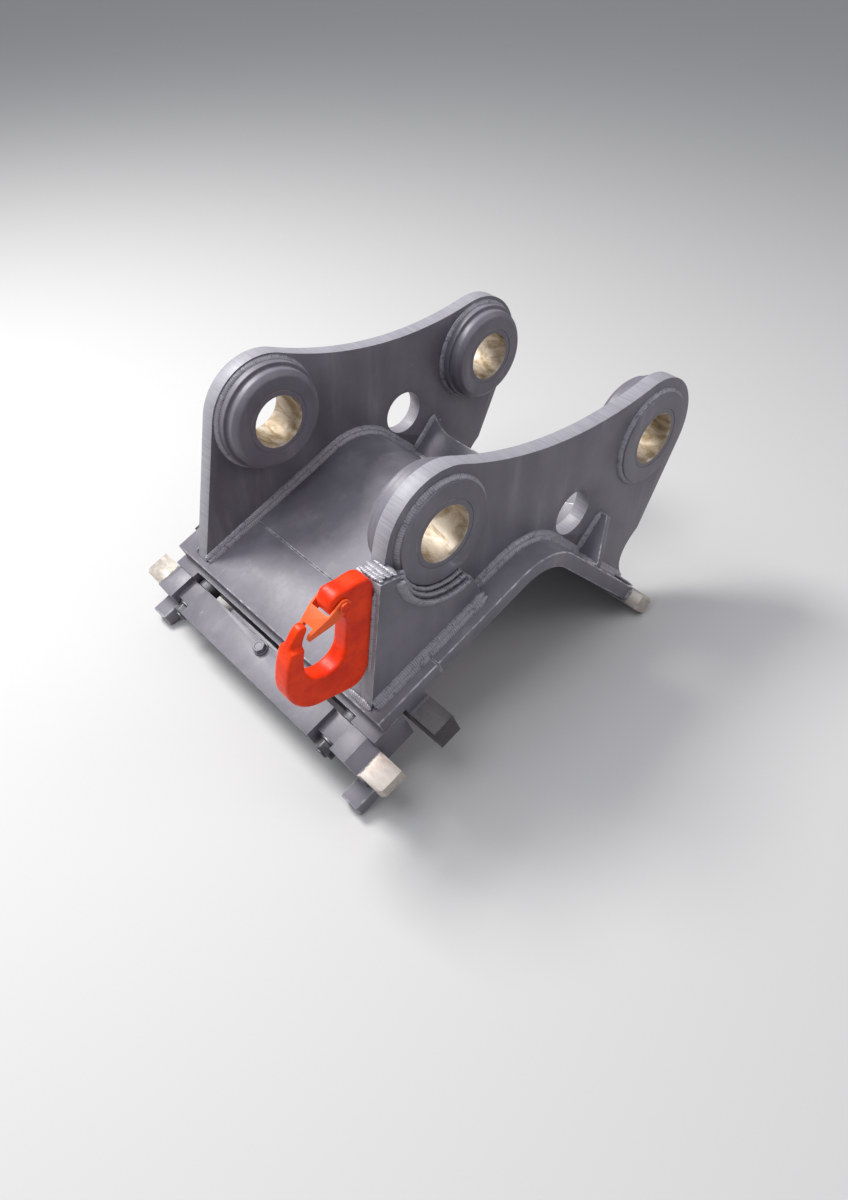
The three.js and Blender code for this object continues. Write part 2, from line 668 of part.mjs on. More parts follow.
// pressed latch: two arms on the pivot that close in to a tongue behind the hook's tip.
// Drawn along +x with its upper side towards -z, then turned to lie shut.
function latchGeometry(halfIn) {
  const halfOut = halfIn + latch.sheet;
  const outerPlan = [];
  const innerPlan = [];
  for (const side of [-1, 1]) {
    const halfEnd = latch.wideEnd + latch.sheet;
    const closeFrom = latch.webFrom; // the arms close in from here, past the hook's lug
    const outline = [[-latch.eyeRadius - 1, halfOut], [closeFrom, halfOut], [latch.reach, halfEnd]];
    const hollow = [[-latch.eyeRadius - 2, halfIn], [closeFrom, halfIn], [latch.reach + 1, latch.wideEnd]];
    if (side > 0) outline.reverse();
    if (side > 0) hollow.reverse();
    outerPlan.push(...outline.map(([x, y]) => [x, side * y]));
    innerPlan.push(...hollow.map(([x, y]) => [x, side * y]));
  }
  const arm = new THREE.Shape();
  arm.moveTo(0, -latch.eyeRadius);
  for (const [x, z] of [[latch.reach - 3, -5], [latch.reach, -2], [latch.reach, 3], [latch.reach / 2, 7]]) {
    arm.lineTo(x, z);
  }
  arm.absarc(0, 0, latch.eyeRadius, Math.PI / 2, 1.5 * Math.PI, false);
  const outside = common(slabXZ(arm, -halfOut, halfOut, 8), slabXY(polygon(outerPlan), -30, 30));
  const hollowUnder = slabXY(polygon(innerPlan), -4, 30);
  const behind = block(-latch.eyeRadius - 2, latch.webFrom, -halfIn, halfIn, -30, 30);
  const eye = rodAlong('y', latchPin.radius + latchPin.slack, -halfOut - 1, halfOut + 1, 0, 0, 20);
  const fork = block(latch.forkFrom, latch.reach + 1, -latch.wideEnd, latch.wideEnd, -30, 30);
  const open = cut(outside, hollowUnder, behind, fork, eye);
  return open.rotateY(-rad(180 + latch.dip)).translate(pivot.x, hookY, pivot.y);
}

function buildHook() {
  const half = hook.thick / 2;
  const armIn = half + latch.side;
  const armOut = armIn + latch.sheet + gap;
  const past = half + 1;
  const eye = rodAlong('y', latchPin.radius + gap, hookY - past, hookY + past, pivot.x, pivot.y, 20);
  const springSeat = hookY + half - latchSpring.recess;
  const recessRadius = latchSpringRadius + latchSpring.wire / 2 + latchSpring.inRecess;
  const recess = rodAlong('y', recessRadius, springSeat, hookY + past, pivot.x, pivot.y, 24);
  const tip = vec(padFront + hook.tipX, hook.tipZ);
  const slimming = sides.map(([, side]) => {
    const [from, to] = mirrored(side, hook.tipThick / 2, half + 1);
    return block(tip.x - 40, tip.x + 14, hookY + from, hookY + to, tip.y - hook.tipNeck, tip.y + 9);
  });
  const slab = slabXZ(hookShape(), hookY - half, hookY + half, 7, hook.bevel);
  const body = cut(slab, eye, recess, ...slimming);
  addPiece(armFrame, 'lifting_hook', body, orangePaint());
  addPiece(armFrame, 'hook_latch', latchGeometry(armIn), orangePaint());

  const stemEnd = armOut + 1;
  const stem = rodAlong('y', latchPin.radius, hookY - stemEnd, hookY + stemEnd, pivot.x, pivot.y, 20);
  const heads = [-1, 1].map((side) => {
    const [from, to] = mirrored(side, armOut, armOut + latchPin.headThick);
    return rodAlong('y', latchPin.headRadius, hookY + from, hookY + to, pivot.x, pivot.y, 20);
  });
  addPiece(armFrame, 'latch_pin', join(stem, ...heads), zincSteel());

  const { turns, wire } = latchSpring;
  const length = turns * (wire + latchSpring.air) + wire;
  const winding = coil(latchSpringRadius, wire, length, turns);
  winding.rotateX(-Math.PI / 2).translate(pivot.x, springSeat + gap, pivot.y);
  addPiece(armFrame, 'latch_spring', winding, springSteel());
}

// ---- assembly ----------------------------------------------------------------------------

buildSaddle();
buildSidePlates();
buildStiffeners();
buildBeam();
buildLockingBar();
buildGuides();
buildHook();

// stand the coupler on its lock lugs and rear bar, then put the origin under its middle
const lugCorner = noseToArm(barBack - lockBar.endDeep - lug.ahead, barBottom - gap - lug.high);
const barCorner = tailToArm(tailEnd, -rearBar.high);
armFrame.rotation.y = Math.atan2(barCorner.y - lugCorner.y, barCorner.x - lugCorner.x);
coupler.updateMatrixWorld(true);
const extent = new THREE.Box3().setFromObject(coupler, true);
const middle = extent.getCenter(new THREE.Vector3());
armFrame.position.set(-middle.x, -middle.y, -extent.min.z);
coupler.updateMatrixWorld(true);

export default coupler;
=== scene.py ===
import math

import bmesh
import bpy
from mathutils import Matrix, Vector


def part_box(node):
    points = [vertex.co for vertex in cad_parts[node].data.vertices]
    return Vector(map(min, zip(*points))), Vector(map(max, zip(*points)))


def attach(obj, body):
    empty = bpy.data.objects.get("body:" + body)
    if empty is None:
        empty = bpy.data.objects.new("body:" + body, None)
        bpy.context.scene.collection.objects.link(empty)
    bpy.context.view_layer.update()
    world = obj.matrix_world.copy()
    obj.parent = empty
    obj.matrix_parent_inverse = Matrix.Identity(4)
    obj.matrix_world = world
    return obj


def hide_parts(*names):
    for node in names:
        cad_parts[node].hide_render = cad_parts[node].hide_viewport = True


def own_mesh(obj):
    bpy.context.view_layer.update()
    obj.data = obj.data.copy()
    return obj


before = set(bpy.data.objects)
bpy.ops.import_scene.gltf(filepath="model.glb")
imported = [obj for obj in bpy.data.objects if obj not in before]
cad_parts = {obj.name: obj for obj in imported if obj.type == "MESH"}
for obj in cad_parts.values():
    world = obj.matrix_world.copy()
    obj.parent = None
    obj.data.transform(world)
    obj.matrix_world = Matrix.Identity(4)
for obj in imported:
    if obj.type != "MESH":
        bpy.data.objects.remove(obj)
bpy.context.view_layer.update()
mm = 0.001
print("frame loaded:", len(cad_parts), "nodes")


# the coupler's own frames, in millimetres, from the places of its pin bushes:
# arm from the front pin to the rear pin, nose up the front slope, tail down the rear slope

saddle = {
    "frontSlope": 27.4,  # degrees
    "rearSlope": 37.5,
    "crestRadius": 108,
    "crestX": 180,
    "crestZ": -197.5,
    "frontLength": 292.4,
    "edge": 255,  # half the saddle's width
    "thick": 25,
    "plateInside": 182.5,  # faces of the side plates, from the middle
    "plateOutside": 207.5,
}


def middle(node):
    low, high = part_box(node)
    return (low + high) / 2


def basis(origin, along, up):
    side = up.cross(along)
    turn = Matrix((along, side, up)).transposed().to_4x4()
    return Matrix.Translation(origin) @ turn @ Matrix.Scale(mm, 4)


frontPin = middle("front_bush_right")
rearPin = middle("rear_bush_right")
pinLine = Vector((rearPin.x - frontPin.x, 0, rearPin.z - frontPin.z)).normalized()
pinUp = Vector((-pinLine.z, 0, pinLine.x))
arm = basis(Vector((frontPin.x, 0, frontPin.z)), pinLine, pinUp)


def turned(angle):
    return Matrix.Rotation(math.radians(angle), 4, "Y")


frontNormal = turned(-saddle["frontSlope"]) @ Vector((0, 0, 1))
frontAlong = turned(-saddle["frontSlope"]) @ Vector((1, 0, 0))
rearNormal = turned(saddle["rearSlope"]) @ Vector((0, 0, 1))
crest = Vector((saddle["crestX"], 0, saddle["crestZ"]))
crestFront = crest + frontNormal * saddle["crestRadius"]
crestBack = crest + rearNormal * saddle["crestRadius"]
noseEdge = crestFront - frontAlong * saddle["frontLength"]
nose = arm @ Matrix.Translation(noseEdge) @ turned(-saddle["frontSlope"])
tail = arm @ Matrix.Translation(crestBack) @ turned(saddle["rearSlope"])
noseInArm = arm.inverted() @ nose
tailInArm = arm.inverted() @ tail
inArm = arm.inverted()
inNose = nose.inverted()


# camera, lights and floor

camera = {
    "stand": (-693.65, -844.6, 631.2),
    "aim": (-37.9, -226.3, -83.0),
    "roll": -6.458,
    "sensor": 24,
    "lens": 17.6,
    "farthest": 50,
}
lights = {
    # name: place, aim, size, power, colour
    "key": ((-0.7, 1.6, 2.5), (0.0, 0.0, 0.2), 0.9, 92, (1.0, 0.985, 0.97)),
    "sky": ((-1.2, 0.3, 2.8), (0.0, 0.0, 0.2), 2.0, 46, (0.93, 0.96, 1.0)),
    "right": ((1.9, -2.1, 1.9), (0.1, 0.0, 0.3), 1.8, 17, (1.0, 0.92, 0.95)),
}
worldLight = {"colour": (0.80, 0.83, 0.90, 1), "strength": 0.46}
floorLook = {"size": 40, "colour": (0.54, 0.535, 0.525, 1), "rough": 0.8}


def makeCamera():
    data = bpy.data.cameras.new("camera")
    data.sensor_fit = "VERTICAL"
    data.sensor_height = camera["sensor"]
    data.lens = camera["lens"]
    data.clip_end = camera["farthest"]
    eye = arm @ Vector(camera["stand"])
    aim = arm @ Vector(camera["aim"])
    look = (aim - eye).normalized()
    upright = pinUp - look * pinUp.dot(look)
    upright.normalize()
    right = look.cross(upright)
    roll = math.radians(camera["roll"])
    up = upright * math.cos(roll) + right * math.sin(roll)
    right = look.cross(up)
    placed = Matrix((right, up, -look)).transposed().to_4x4()
    placed.translation = eye
    obj = bpy.data.objects.new("camera", data)
    obj.matrix_world = placed
    bpy.context.scene.collection.objects.link(obj)
    bpy.context.scene.camera = obj


def makeLights():
    for name, (place, aim, size, power, colour) in lights.items():
        data = bpy.data.lights.new(name, "AREA")
        data.size = size
        data.energy = power
        data.color = colour
        obj = bpy.data.objects.new(name, data)
        obj.location = place
        obj.rotation_euler = (Vector(aim) - Vector(place)).to_track_quat("-Z", "Y").to_euler()
        bpy.context.scene.collection.objects.link(obj)
    world = bpy.data.worlds.new("studio")
    world.use_nodes = True
    background = world.node_tree.nodes["Background"]
    background.inputs["Color"].default_value = worldLight["colour"]
    background.inputs["Strength"].default_value = worldLight["strength"]
    bpy.context.scene.world = world
    bpy.context.scene.view_settings.view_transform = "Standard"


def makeFloor():
    half = floorLook["size"] / 2
    mesh = bpy.data.meshes.new("floor")
    corners = [(-half, -half, 0), (half, -half, 0), (half, half, 0), (-half, half, 0)]
    mesh.from_pydata(corners, [], [(0, 1, 2, 3)])
    obj = bpy.data.objects.new("floor", mesh)
    bpy.context.scene.collection.objects.link(obj)
    look = bpy.data.materials.new("paleFloor")
    look.use_nodes = True
    shader = look.node_tree.nodes["Principled BSDF"]
    shader.inputs["Base Color"].default_value = floorLook["colour"]
    shader.inputs["Roughness"].default_value = floorLook["rough"]
    mesh.materials.append(look)


makeCamera()
makeLights()
makeFloor()
print("camera, lights and floor ready")


# materials

class Look:
    # a small helper that adds and joins shader nodes
    def __init__(self, name):
        self.material = bpy.data.materials.new(name)
        self.material.use_nodes = True
        self.tree = self.material.node_tree
        self.shader = self.tree.nodes["Principled BSDF"]
        self.place = self.add("ShaderNodeTexCoord").outputs["Object"]

    def add(self, kind, inputs=None, **settings):
        node = self.tree.nodes.new(kind)
        for key, value in settings.items():
            setattr(node, key, value)
        for key, value in (inputs or {}).items():
            self.join(value, node.inputs[key])
        return node

    def join(self, value, socket):
        if isinstance(value, bpy.types.NodeSocket):
            self.tree.links.new(value, socket)
        else:
            socket.default_value = value

    def noise(self, scale, detail=3.0, rough=0.55, stretch=(1, 1, 1), offset=(0, 0, 0), distortion=0.0):
        mapped = self.add("ShaderNodeMapping", {"Vector": self.place, "Scale": stretch, "Location": offset})
        node = self.add("ShaderNodeTexNoise", {
            "Vector": mapped.outputs[0], "Scale": scale, "Detail": detail,
            "Roughness": rough, "Distortion": distortion,
        })
        return node.outputs["Fac"]

    def attribute(self, name):
        return self.add("ShaderNodeAttribute", attribute_name=name).outputs["Fac"]

    def range(self, value, low, high, toLow=0.0, toHigh=1.0, smooth=False):
        node = self.add("ShaderNodeMapRange", {
            "Value": value, "From Min": low, "From Max": high, "To Min": toLow, "To Max": toHigh,
        })
        node.interpolation_type = "SMOOTHSTEP" if smooth else "LINEAR"
        return node.outputs["Result"]

    def math(self, operation, first, second=0.0, clamp=False):
        node = self.add("ShaderNodeMath", operation=operation, use_clamp=clamp)
        self.join(first, node.inputs[0])
        self.join(second, node.inputs[1])
        return node.outputs[0]

    def mix(self, share, first, second):
        node = self.add("ShaderNodeMix", data_type="RGBA", blend_type="MIX")
        self.join(share, node.inputs["Factor"])
        self.join(first, node.inputs["A"])
        self.join(second, node.inputs["B"])
        return node.outputs["Result"]

    def blendValue(self, share, first, second):
        node = self.add("ShaderNodeMix", data_type="FLOAT")
        self.join(share, node.inputs[0])
        self.join(first, node.inputs[2])
        self.join(second, node.inputs[3])
        return node.outputs[0]

    def bump(self, height, depth, strength=1.0, under=None):
        inputs = {"Height": height, "Distance": depth, "Strength": strength}
        if under is not None:
            inputs["Normal"] = under
        return self.add("ShaderNodeBump", inputs).outputs["Normal"]

    def set(self, **values):
        for key, value in values.items():
            self.join(value, self.shader.inputs[key.replace("_", " ")])


slatePaint = {
    "deep": (0.112, 0.104, 0.125, 1),
    "pale": (0.178, 0.168, 0.196, 1),
    "wearAndEdgeHighlight": (0.60, 0.595, 0.62, 1),
    "cutEdgeHighlight": (0.33, 0.32, 0.35, 1),
    "dust": (0.30, 0.285, 0.27, 1),
    "rough": (0.36, 0.56),
    "cloudScale": 7,
    "fineScale": 170,
    "streakScale": 26,
    "speckScale": 900,
    "chipScale": 62,
    "scuffScale": 11,
    "dragScale": 380,
    "rollScale": 34,
    "fineDepth": 0.00035,
    "rollDepth": 0.0011,
    "dragDepth": 0.0005,
    "speckDepth": 0.00008,
    "coat": 0.12,
    "coatRough": 0.35,
}
rawSteel = ((0.36, 0.31, 0.26, 1), (0.62, 0.57, 0.52, 1))
# near-black bare tones for the anvil bar's ends: dark bare steel, darkened further as painted shade
darkSteelAndShade = ((0.022, 0.020, 0.021, 1), (0.10, 0.09, 0.092, 1))
bareEnds = {
    # metres from the middle to the paint's edge
    "anvilBar": 0.258,
    "rearBar": 0.257,
    "lockingBar": 0.263,
    "ragged": 0.012,
    "edge": 0.0015,
    "mottleScale": 90,
    "rough": (0.34, 0.55),
    "metal": 0.55,
}


def paintedSteel(name, bareBeyond=None, bareTones=rawSteel):
    # slate paint over rolled plate; the bar ends may be rubbed bare, and with the near-black tones the bare
    # ends also carry painted shade
    look = Look(name)
    cloud = look.noise(slatePaint["cloudScale"], 4, 0.6, distortion=0.4)
    fine = look.noise(slatePaint["fineScale"], 3, 0.6)
    streak = look.noise(slatePaint["streakScale"], 4, 0.62, stretch=(1, 1, 0.16), offset=(0.3, 0.7, 0.1))
    speck = look.noise(slatePaint["speckScale"], 2, 0.5)
    tone = look.math("ADD", look.math("MULTIPLY", cloud, 0.75), look.math("MULTIPLY", streak, 0.35))
    colour = look.mix(look.range(tone, 0.36, 0.76, smooth=True), slatePaint["deep"], slatePaint["pale"])
    dusty = look.math("MULTIPLY", look.range(streak, 0.55, 0.78, smooth=True), 0.30)
    colour = look.mix(dusty, colour, slatePaint["dust"])
    # rubbed edges and a few scuffs, and a painted highlight along every rounded edge
    rim = look.attribute("rim")
    chips = look.noise(slatePaint["chipScale"], 4, 0.7, offset=(3, 1, 2))
    chips = look.range(chips, 0.44, 0.62, smooth=True)
    # every rim gets a little of the pale tone as a painted highlight; the chips on top are wear
    rubbed = look.math("MULTIPLY", rim, look.math("ADD", 0.16, look.math("MULTIPLY", chips, 0.62)))
    scuff = look.noise(slatePaint["scuffScale"], 6, 0.72, (1, 3.2, 1), (5, 2, 8), 1.1)
    scuff = look.range(scuff, 0.67, 0.74)
    wearAndEdgeHighlight = look.math("MAXIMUM", rubbed, look.math("MULTIPLY", scuff, 0.30), clamp=True)
    # flame-cut edge faces are painted paler as a painted highlight of light on the plate edges, with drag
    # lines through the plate
    cut = look.attribute("cut")
    drag = look.noise(slatePaint["dragScale"], 2, 0.5, stretch=(1, 0.04, 1))
    pale = look.math("MULTIPLY", cut, look.range(drag, 0.35, 0.65, 0.52, 0.86))
    colour = look.mix(pale, colour, slatePaint["cutEdgeHighlight"])
    colour = look.mix(wearAndEdgeHighlight, colour, slatePaint["wearAndEdgeHighlight"])
    rough = look.range(cloud, 0.3, 0.7, *slatePaint["rough"])
    rough = look.math("ADD", rough, look.math("MULTIPLY", fine, 0.10))
    metal = look.math("MULTIPLY", wearAndEdgeHighlight, 0.35)
    peel = look.bump(fine, slatePaint["fineDepth"], 0.55)
    waves = look.noise(slatePaint["rollScale"], 4, 0.6, stretch=(1, 1.4, 1))
    rolled = look.bump(waves, slatePaint["rollDepth"], 0.5, peel)
    rolled = look.bump(look.math("MULTIPLY", cut, drag), slatePaint["dragDepth"], 0.5, rolled)
    normal = look.bump(speck, slatePaint["speckDepth"], 0.4, rolled)
    if bareBeyond:
        parts = look.add("ShaderNodeSeparateXYZ", {"Vector": look.place})
        reach = look.math("ABSOLUTE", parts.outputs["Y"])
        ragged = look.math("SUBTRACT", look.noise(120, 4, 0.7), 0.5)
        ragged = look.math("MULTIPLY", ragged, bareEnds["ragged"])
        edge = bareEnds["edge"]
        bare = look.range(look.math("ADD", reach, ragged), bareBeyond - edge, bareBeyond + edge)
        mottled = look.noise(bareEnds["mottleScale"], 5, 0.7, stretch=(1, 0.35, 1))
        steel = look.mix(look.range(mottled, 0.3, 0.7), *bareTones)
        colour = look.mix(bare, colour, steel)
        rough = look.blendValue(bare, rough, look.range(mottled, 0.3, 0.7, *bareEnds["rough"]))
        metal = look.blendValue(bare, metal, bareEnds["metal"])
    look.set(Base_Color=colour, Roughness=rough, Metallic=metal, Normal=normal)
    look.shader.inputs["Coat Weight"].default_value = slatePaint["coat"]
    look.shader.inputs["Coat Roughness"].default_value = slatePaint["coatRough"]
    return look.material


beadPaint = {
    "deep": (0.19, 0.183, 0.21, 1),
    "pale": (0.29, 0.282, 0.31, 1),
    "crest": (0.35, 0.34, 0.37, 1),
    "grime": (0.09, 0.086, 0.10, 1),
    "grimeShare": 0.6,
    "rough": (0.30, 0.46),
    "metal": 0.15,
    "foldDepth": 0.0009,
    "fineDepth": 0.0002,
}


def weldPaint():
    # the same paint, paler over the weld beads, with a painted highlight on the ripple crests
    look = Look("paintedWeld")
    cloud = look.noise(40, 4, 0.6)
    run = look.attribute("ripple")
    colour = look.mix(look.range(cloud, 0.3, 0.7), beadPaint["deep"], beadPaint["pale"])
    # ripple crests are painted paler, a painted highlight on the bead's ripples
    colour = look.mix(look.range(run, 0.30, 1.0), colour, beadPaint["crest"])
    grime = look.range(look.noise(120, 4, 0.65, offset=(2, 6, 4)), 0.52, 0.68, smooth=True)
    colour = look.mix(look.math("MULTIPLY", grime, beadPaint["grimeShare"]), colour, beadPaint["grime"])
    fine = look.noise(400, 3, 0.6)
    folds = look.bump(look.noise(150, 4, 0.65), beadPaint["foldDepth"], 0.6)
    normal = look.bump(fine, beadPaint["fineDepth"], 0.5, folds)
    rough = look.range(fine, 0.3, 0.7, *beadPaint["rough"])
    look.set(Base_Color=colour, Roughness=rough, Normal=normal)
    look.shader.inputs["Metallic"].default_value = beadPaint["metal"]
    return look.material


bushFilm = {
    "deep": (0.27, 0.195, 0.105, 1),
    "pale": (0.62, 0.54, 0.44, 1),
    "stain": (0.16, 0.11, 0.065, 1),
    "stainShare": 0.6,
    "rough": (0.66, 0.50),
    "faceRough": 0.5,
    "metal": 0.55,
    "toolMarks": 5200,  # radians per metre along the bore
    "markDepth": 0.00006,
    "wobble": 0.0007,
}


def bushSteel():
    # turned bore with a straw-coloured film and fine tool marks round it
    look = Look("turnedBush")
    parts = look.add("ShaderNodeSeparateXYZ", {"Vector": look.place})
    wobble = look.math("MULTIPLY", look.noise(30, 3), bushFilm["wobble"])
    along = look.math("ADD", parts.outputs["Y"], wobble)
    lathe = look.math("SINE", look.math("MULTIPLY", along, bushFilm["toolMarks"]))
    film = look.noise(38, 5, 0.65, stretch=(1, 0.5, 1), distortion=0.8)
    colour = look.mix(look.range(film, 0.34, 0.66, smooth=True), bushFilm["deep"], bushFilm["pale"])
    stain = look.range(look.noise(24, 5, 0.7, offset=(2, 4, 1)), 0.60, 0.72)
    colour = look.mix(look.math("MULTIPLY", stain, bushFilm["stainShare"]), colour, bushFilm["stain"])
    rough = look.range(film, 0.3, 0.7, *bushFilm["rough"])
    normal = look.bump(lathe, bushFilm["markDepth"], 0.6)
    # paint covers the end faces of the bush
    face = look.attribute("face")
    paint = look.mix(look.noise(90, 3), slatePaint["deep"], slatePaint["pale"])
    colour = look.mix(face, colour, paint)
    rough = look.blendValue(face, rough, bushFilm["faceRough"])
    metal = look.range(face, 0, 1, bushFilm["metal"], 0.0)
    look.set(Base_Color=colour, Roughness=rough, Normal=normal, Metallic=metal)
    return look.material


plating = {
    "deep": (0.10, 0.10, 0.11, 1),
    "pale": (0.24, 0.24, 0.25, 1),
    "grime": (0.045, 0.042, 0.04, 1),
    "grimeShare": 0.55,
    "rough": (0.38, 0.55),
    "metal": 0.8,
    "grainDepth": 0.00006,
}


def platedSteel():
    look = Look("platedSteel")
    cloud = look.noise(60, 4, 0.6)
    colour = look.mix(look.range(cloud, 0.35, 0.7), plating["deep"], plating["pale"])
    grime = look.range(look.noise(95, 4, 0.7, offset=(1, 5, 3)), 0.52, 0.66)
    colour = look.mix(look.math("MULTIPLY", grime, plating["grimeShare"]), colour, plating["grime"])
    rough = look.range(cloud, 0.3, 0.7, *plating["rough"])
    grain = look.bump(look.noise(500, 2), plating["grainDepth"], 0.5)
    look.set(Base_Color=colour, Roughness=rough, Normal=grain)
    look.shader.inputs["Metallic"].default_value = plating["metal"]
    return look.material


oiled = {
    "deep": (0.035, 0.035, 0.04, 1),
    "pale": (0.11, 0.105, 0.10, 1),
    "rough": (0.28, 0.42),
    "metal": 0.7,
    "grainDepth": 0.00005,
}


def oiledSteel():
    look = Look("oiledSpringSteel")
    cloud = look.noise(80, 3, 0.6)
    colour = look.mix(cloud, oiled["deep"], oiled["pale"])
    rough = look.range(cloud, 0.3, 0.7, *oiled["rough"])
    grain = look.bump(look.noise(600, 2), oiled["grainDepth"], 0.4)
    look.set(Base_Color=colour, Roughness=rough, Normal=grain)
    look.shader.inputs["Metallic"].default_value = oiled["metal"]
    return look.material


hookPaint = {
    "deep": (0.66, 0.022, 0.001, 1),
    "bright": (0.88, 0.048, 0.002, 1),
    "rubbed": (0.95, 0.19, 0.05, 1),
    "dirt": (0.20, 0.022, 0.010, 1),
    "dirtShare": 0.35,
    "rough": (0.32, 0.46),
    "specular": 0.22,
    "forgedDepth": 0.0008,
    "fineDepth": 0.00018,
    "latchLift": 0.55,
}


def orangePaint(name, lift=0.0):
    # powder coat on a forging; lift makes it paler
    look = Look(name)
    cloud = look.noise(34, 4, 0.6)
    colour = look.mix(look.range(cloud, 0.3, 0.7, smooth=True), hookPaint["deep"], hookPaint["bright"])
    colour = look.mix(lift, colour, hookPaint["rubbed"])
    rim = look.attribute("rim")
    chips = look.range(look.noise(150, 4, 0.7), 0.46, 0.60, smooth=True)
    colour = look.mix(look.math("MULTIPLY", rim, chips), colour, hookPaint["rubbed"])
    dirt = look.range(look.noise(70, 4, 0.7, offset=(4, 2, 6)), 0.60, 0.72)
    colour = look.mix(look.math("MULTIPLY", dirt, hookPaint["dirtShare"]), colour, hookPaint["dirt"])
    fine = look.noise(420, 3, 0.6)
    forged = look.bump(look.noise(75, 4, 0.6), hookPaint["forgedDepth"], 0.5)
    normal = look.bump(fine, hookPaint["fineDepth"], 0.5, forged)
    rough = look.range(fine, 0.3, 0.7, *hookPaint["rough"])
    look.set(Base_Color=colour, Roughness=rough, Normal=normal)
    look.shader.inputs["Specular IOR Level"].default_value = hookPaint["specular"]
    return look.material


plain = paintedSteel("slatePaint")
# the anvil bar's ends are painted near black: dark bare steel, with painted shade on the prong ends
anvilPaint = paintedSteel("slatePaintDarkProngs", bareEnds["anvilBar"], darkSteelAndShade)
rearBarPaint = paintedSteel("slatePaintBareEnds", bareEnds["rearBar"])
lockBarPaint = paintedSteel("slatePaintBareProngs", bareEnds["lockingBar"])
weldLook = weldPaint()
bushLook = bushSteel()
platedLook = platedSteel()
springLook = oiledSteel()
hookLook = orangePaint("orangeHook")
latchLook = orangePaint("orangeLatch", lift=hookPaint["latchLift"])
print("materials ready")


# mesh helpers

def newObject(name, mesh, material):
    mesh.materials.clear()
    mesh.materials.append(material)
    obj = bpy.data.objects.new(name, mesh)
    bpy.context.scene.collection.objects.link(obj)
    return obj


def finish(obj, body, nodes=()):
    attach(obj, body)
    if nodes:
        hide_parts(*nodes)
    return obj


def smoothMesh(mesh, angle=32):
    mesh.shade_smooth()
    mesh.set_sharp_from_angle(angle=math.radians(angle))


def tagRim(mesh, faces):
    # faces on rounded edges carry rim = 1, so the paint there looks rubbed; the slate paint also puts a
    # painted highlight there
    layer = mesh.attributes.new("rim", "FLOAT", "FACE")
    for index in faces:
        layer.data[index].value = 1.0


def mergedCopy(node):
    work = bmesh.new()
    work.from_mesh(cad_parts[node].data)
    bmesh.ops.remove_doubles(work, verts=work.verts, dist=0.00001)
    bmesh.ops.dissolve_limit(work, angle_limit=math.radians(0.6), verts=work.verts, edges=work.edges)
    return work


def roundedNode(node, width, steps=2, sharp=30):
    # a copy of a solid with its hard edges rounded off
    work = mergedCopy(node)
    hard = [e for e in work.edges if len(e.link_faces) == 2 and e.calc_face_angle(0) > math.radians(sharp)]
    made = bmesh.ops.bevel(work, geom=hard, offset=width * mm, segments=steps, profile=0.5,
                           affect="EDGES", clamp_overlap=True)
    work.faces.index_update()
    rim = [face.index for face in made["faces"]]
    mesh = bpy.data.meshes.new(node)
    work.to_mesh(mesh)
    work.free()
    tagRim(mesh, rim)
    smoothMesh(mesh)
    return mesh


def latheMesh(name, section, steps, place, sharp=34):
    # closed section of (radius, y) pairs turned about y
    work = bmesh.new()
    rings = []
    for step in range(steps):
        angle = 2 * math.pi * step / steps
        rings.append([
            work.verts.new(place @ Vector((r * math.cos(angle), y, r * math.sin(angle))))
            for r, y in section
        ])
    count = len(section)
    for step in range(steps):
        here, there = rings[step], rings[(step + 1) % steps]
        for k in range(count):
            work.faces.new((here[k], there[k], there[(k + 1) % count], here[(k + 1) % count]))
    bmesh.ops.recalc_face_normals(work, faces=work.faces)
    mesh = bpy.data.meshes.new(name)
    work.to_mesh(mesh)
    work.free()
    smoothMesh(mesh, sharp)
    return mesh


filletShare = 0.48  # of a side, so that two fillets never meet


def roundedSection(corners, steps=4):
    # rounds each (radius, y, fillet) corner of a section
    points = []
    count = len(corners)
    for k, (r, y, fillet) in enumerate(corners):
        here = Vector((r, y))
        before = Vector(corners[k - 1][:2])
        after = Vector(corners[(k + 1) % count][:2])
        if fillet <= 0:
            points.append((r, y))
            continue
        start = here + (before - here).normalized() * min(fillet, (before - here).length * filletShare)
        end = here + (after - here).normalized() * min(fillet, (after - here).length * filletShare)
        for step in range(steps + 1):
            t = step / steps
            spot = start * (1 - t) ** 2 + here * 2 * t * (1 - t) + end * t * t
            points.append((spot.x, spot.y))
    return points


# plates, bars and blocks: the solids with flame-cut or sawn edges eased

easedEdges = {
    # rounding in millimetres and paint; a name without its side stands for right and left
    "saddle_nose_plate": (1.8, plain),
    "saddle_plate": (1.8, plain),
    "side_plate": (2.2, plain),
    "cheek_plate": (2.0, plain),
    "hook_pad": (2.0, plain),
    "gusset": (1.6, plain),
    "cross_rib": (1.8, plain),
    "rear_bar": (2.2, rearBarPaint),
    "nose_beam": (1.2, plain),
    "anvil_bar": (2.4, anvilPaint),
    "locking_bar": (2.0, lockBarPaint),
    "lock_lug": (2.4, plain),
    "slot_strip": (0.8, plain),
}
flameCut = ["side_plate", "cheek_plate"]
fixings = {
    "guide_sleeve": 0.6,
    "front_washer": 0.5,
    "front_nut": 1.3,
    "spring_collar": 0.7,
    "back_nut": 1.3,
}
barNodes = (
    "locking_bar", "lock_lug", "slot_strip", "strip_bolt", "guide_rod", "front_washer",
    "front_nut", "spring_collar", "back_nut",
)
bodyOf = {
    node: "locking_bar" if node.startswith(barNodes) else "coupler_frame"
    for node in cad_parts
}


def nodesOf(name):
    return [name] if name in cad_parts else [name + "_right", name + "_left"]


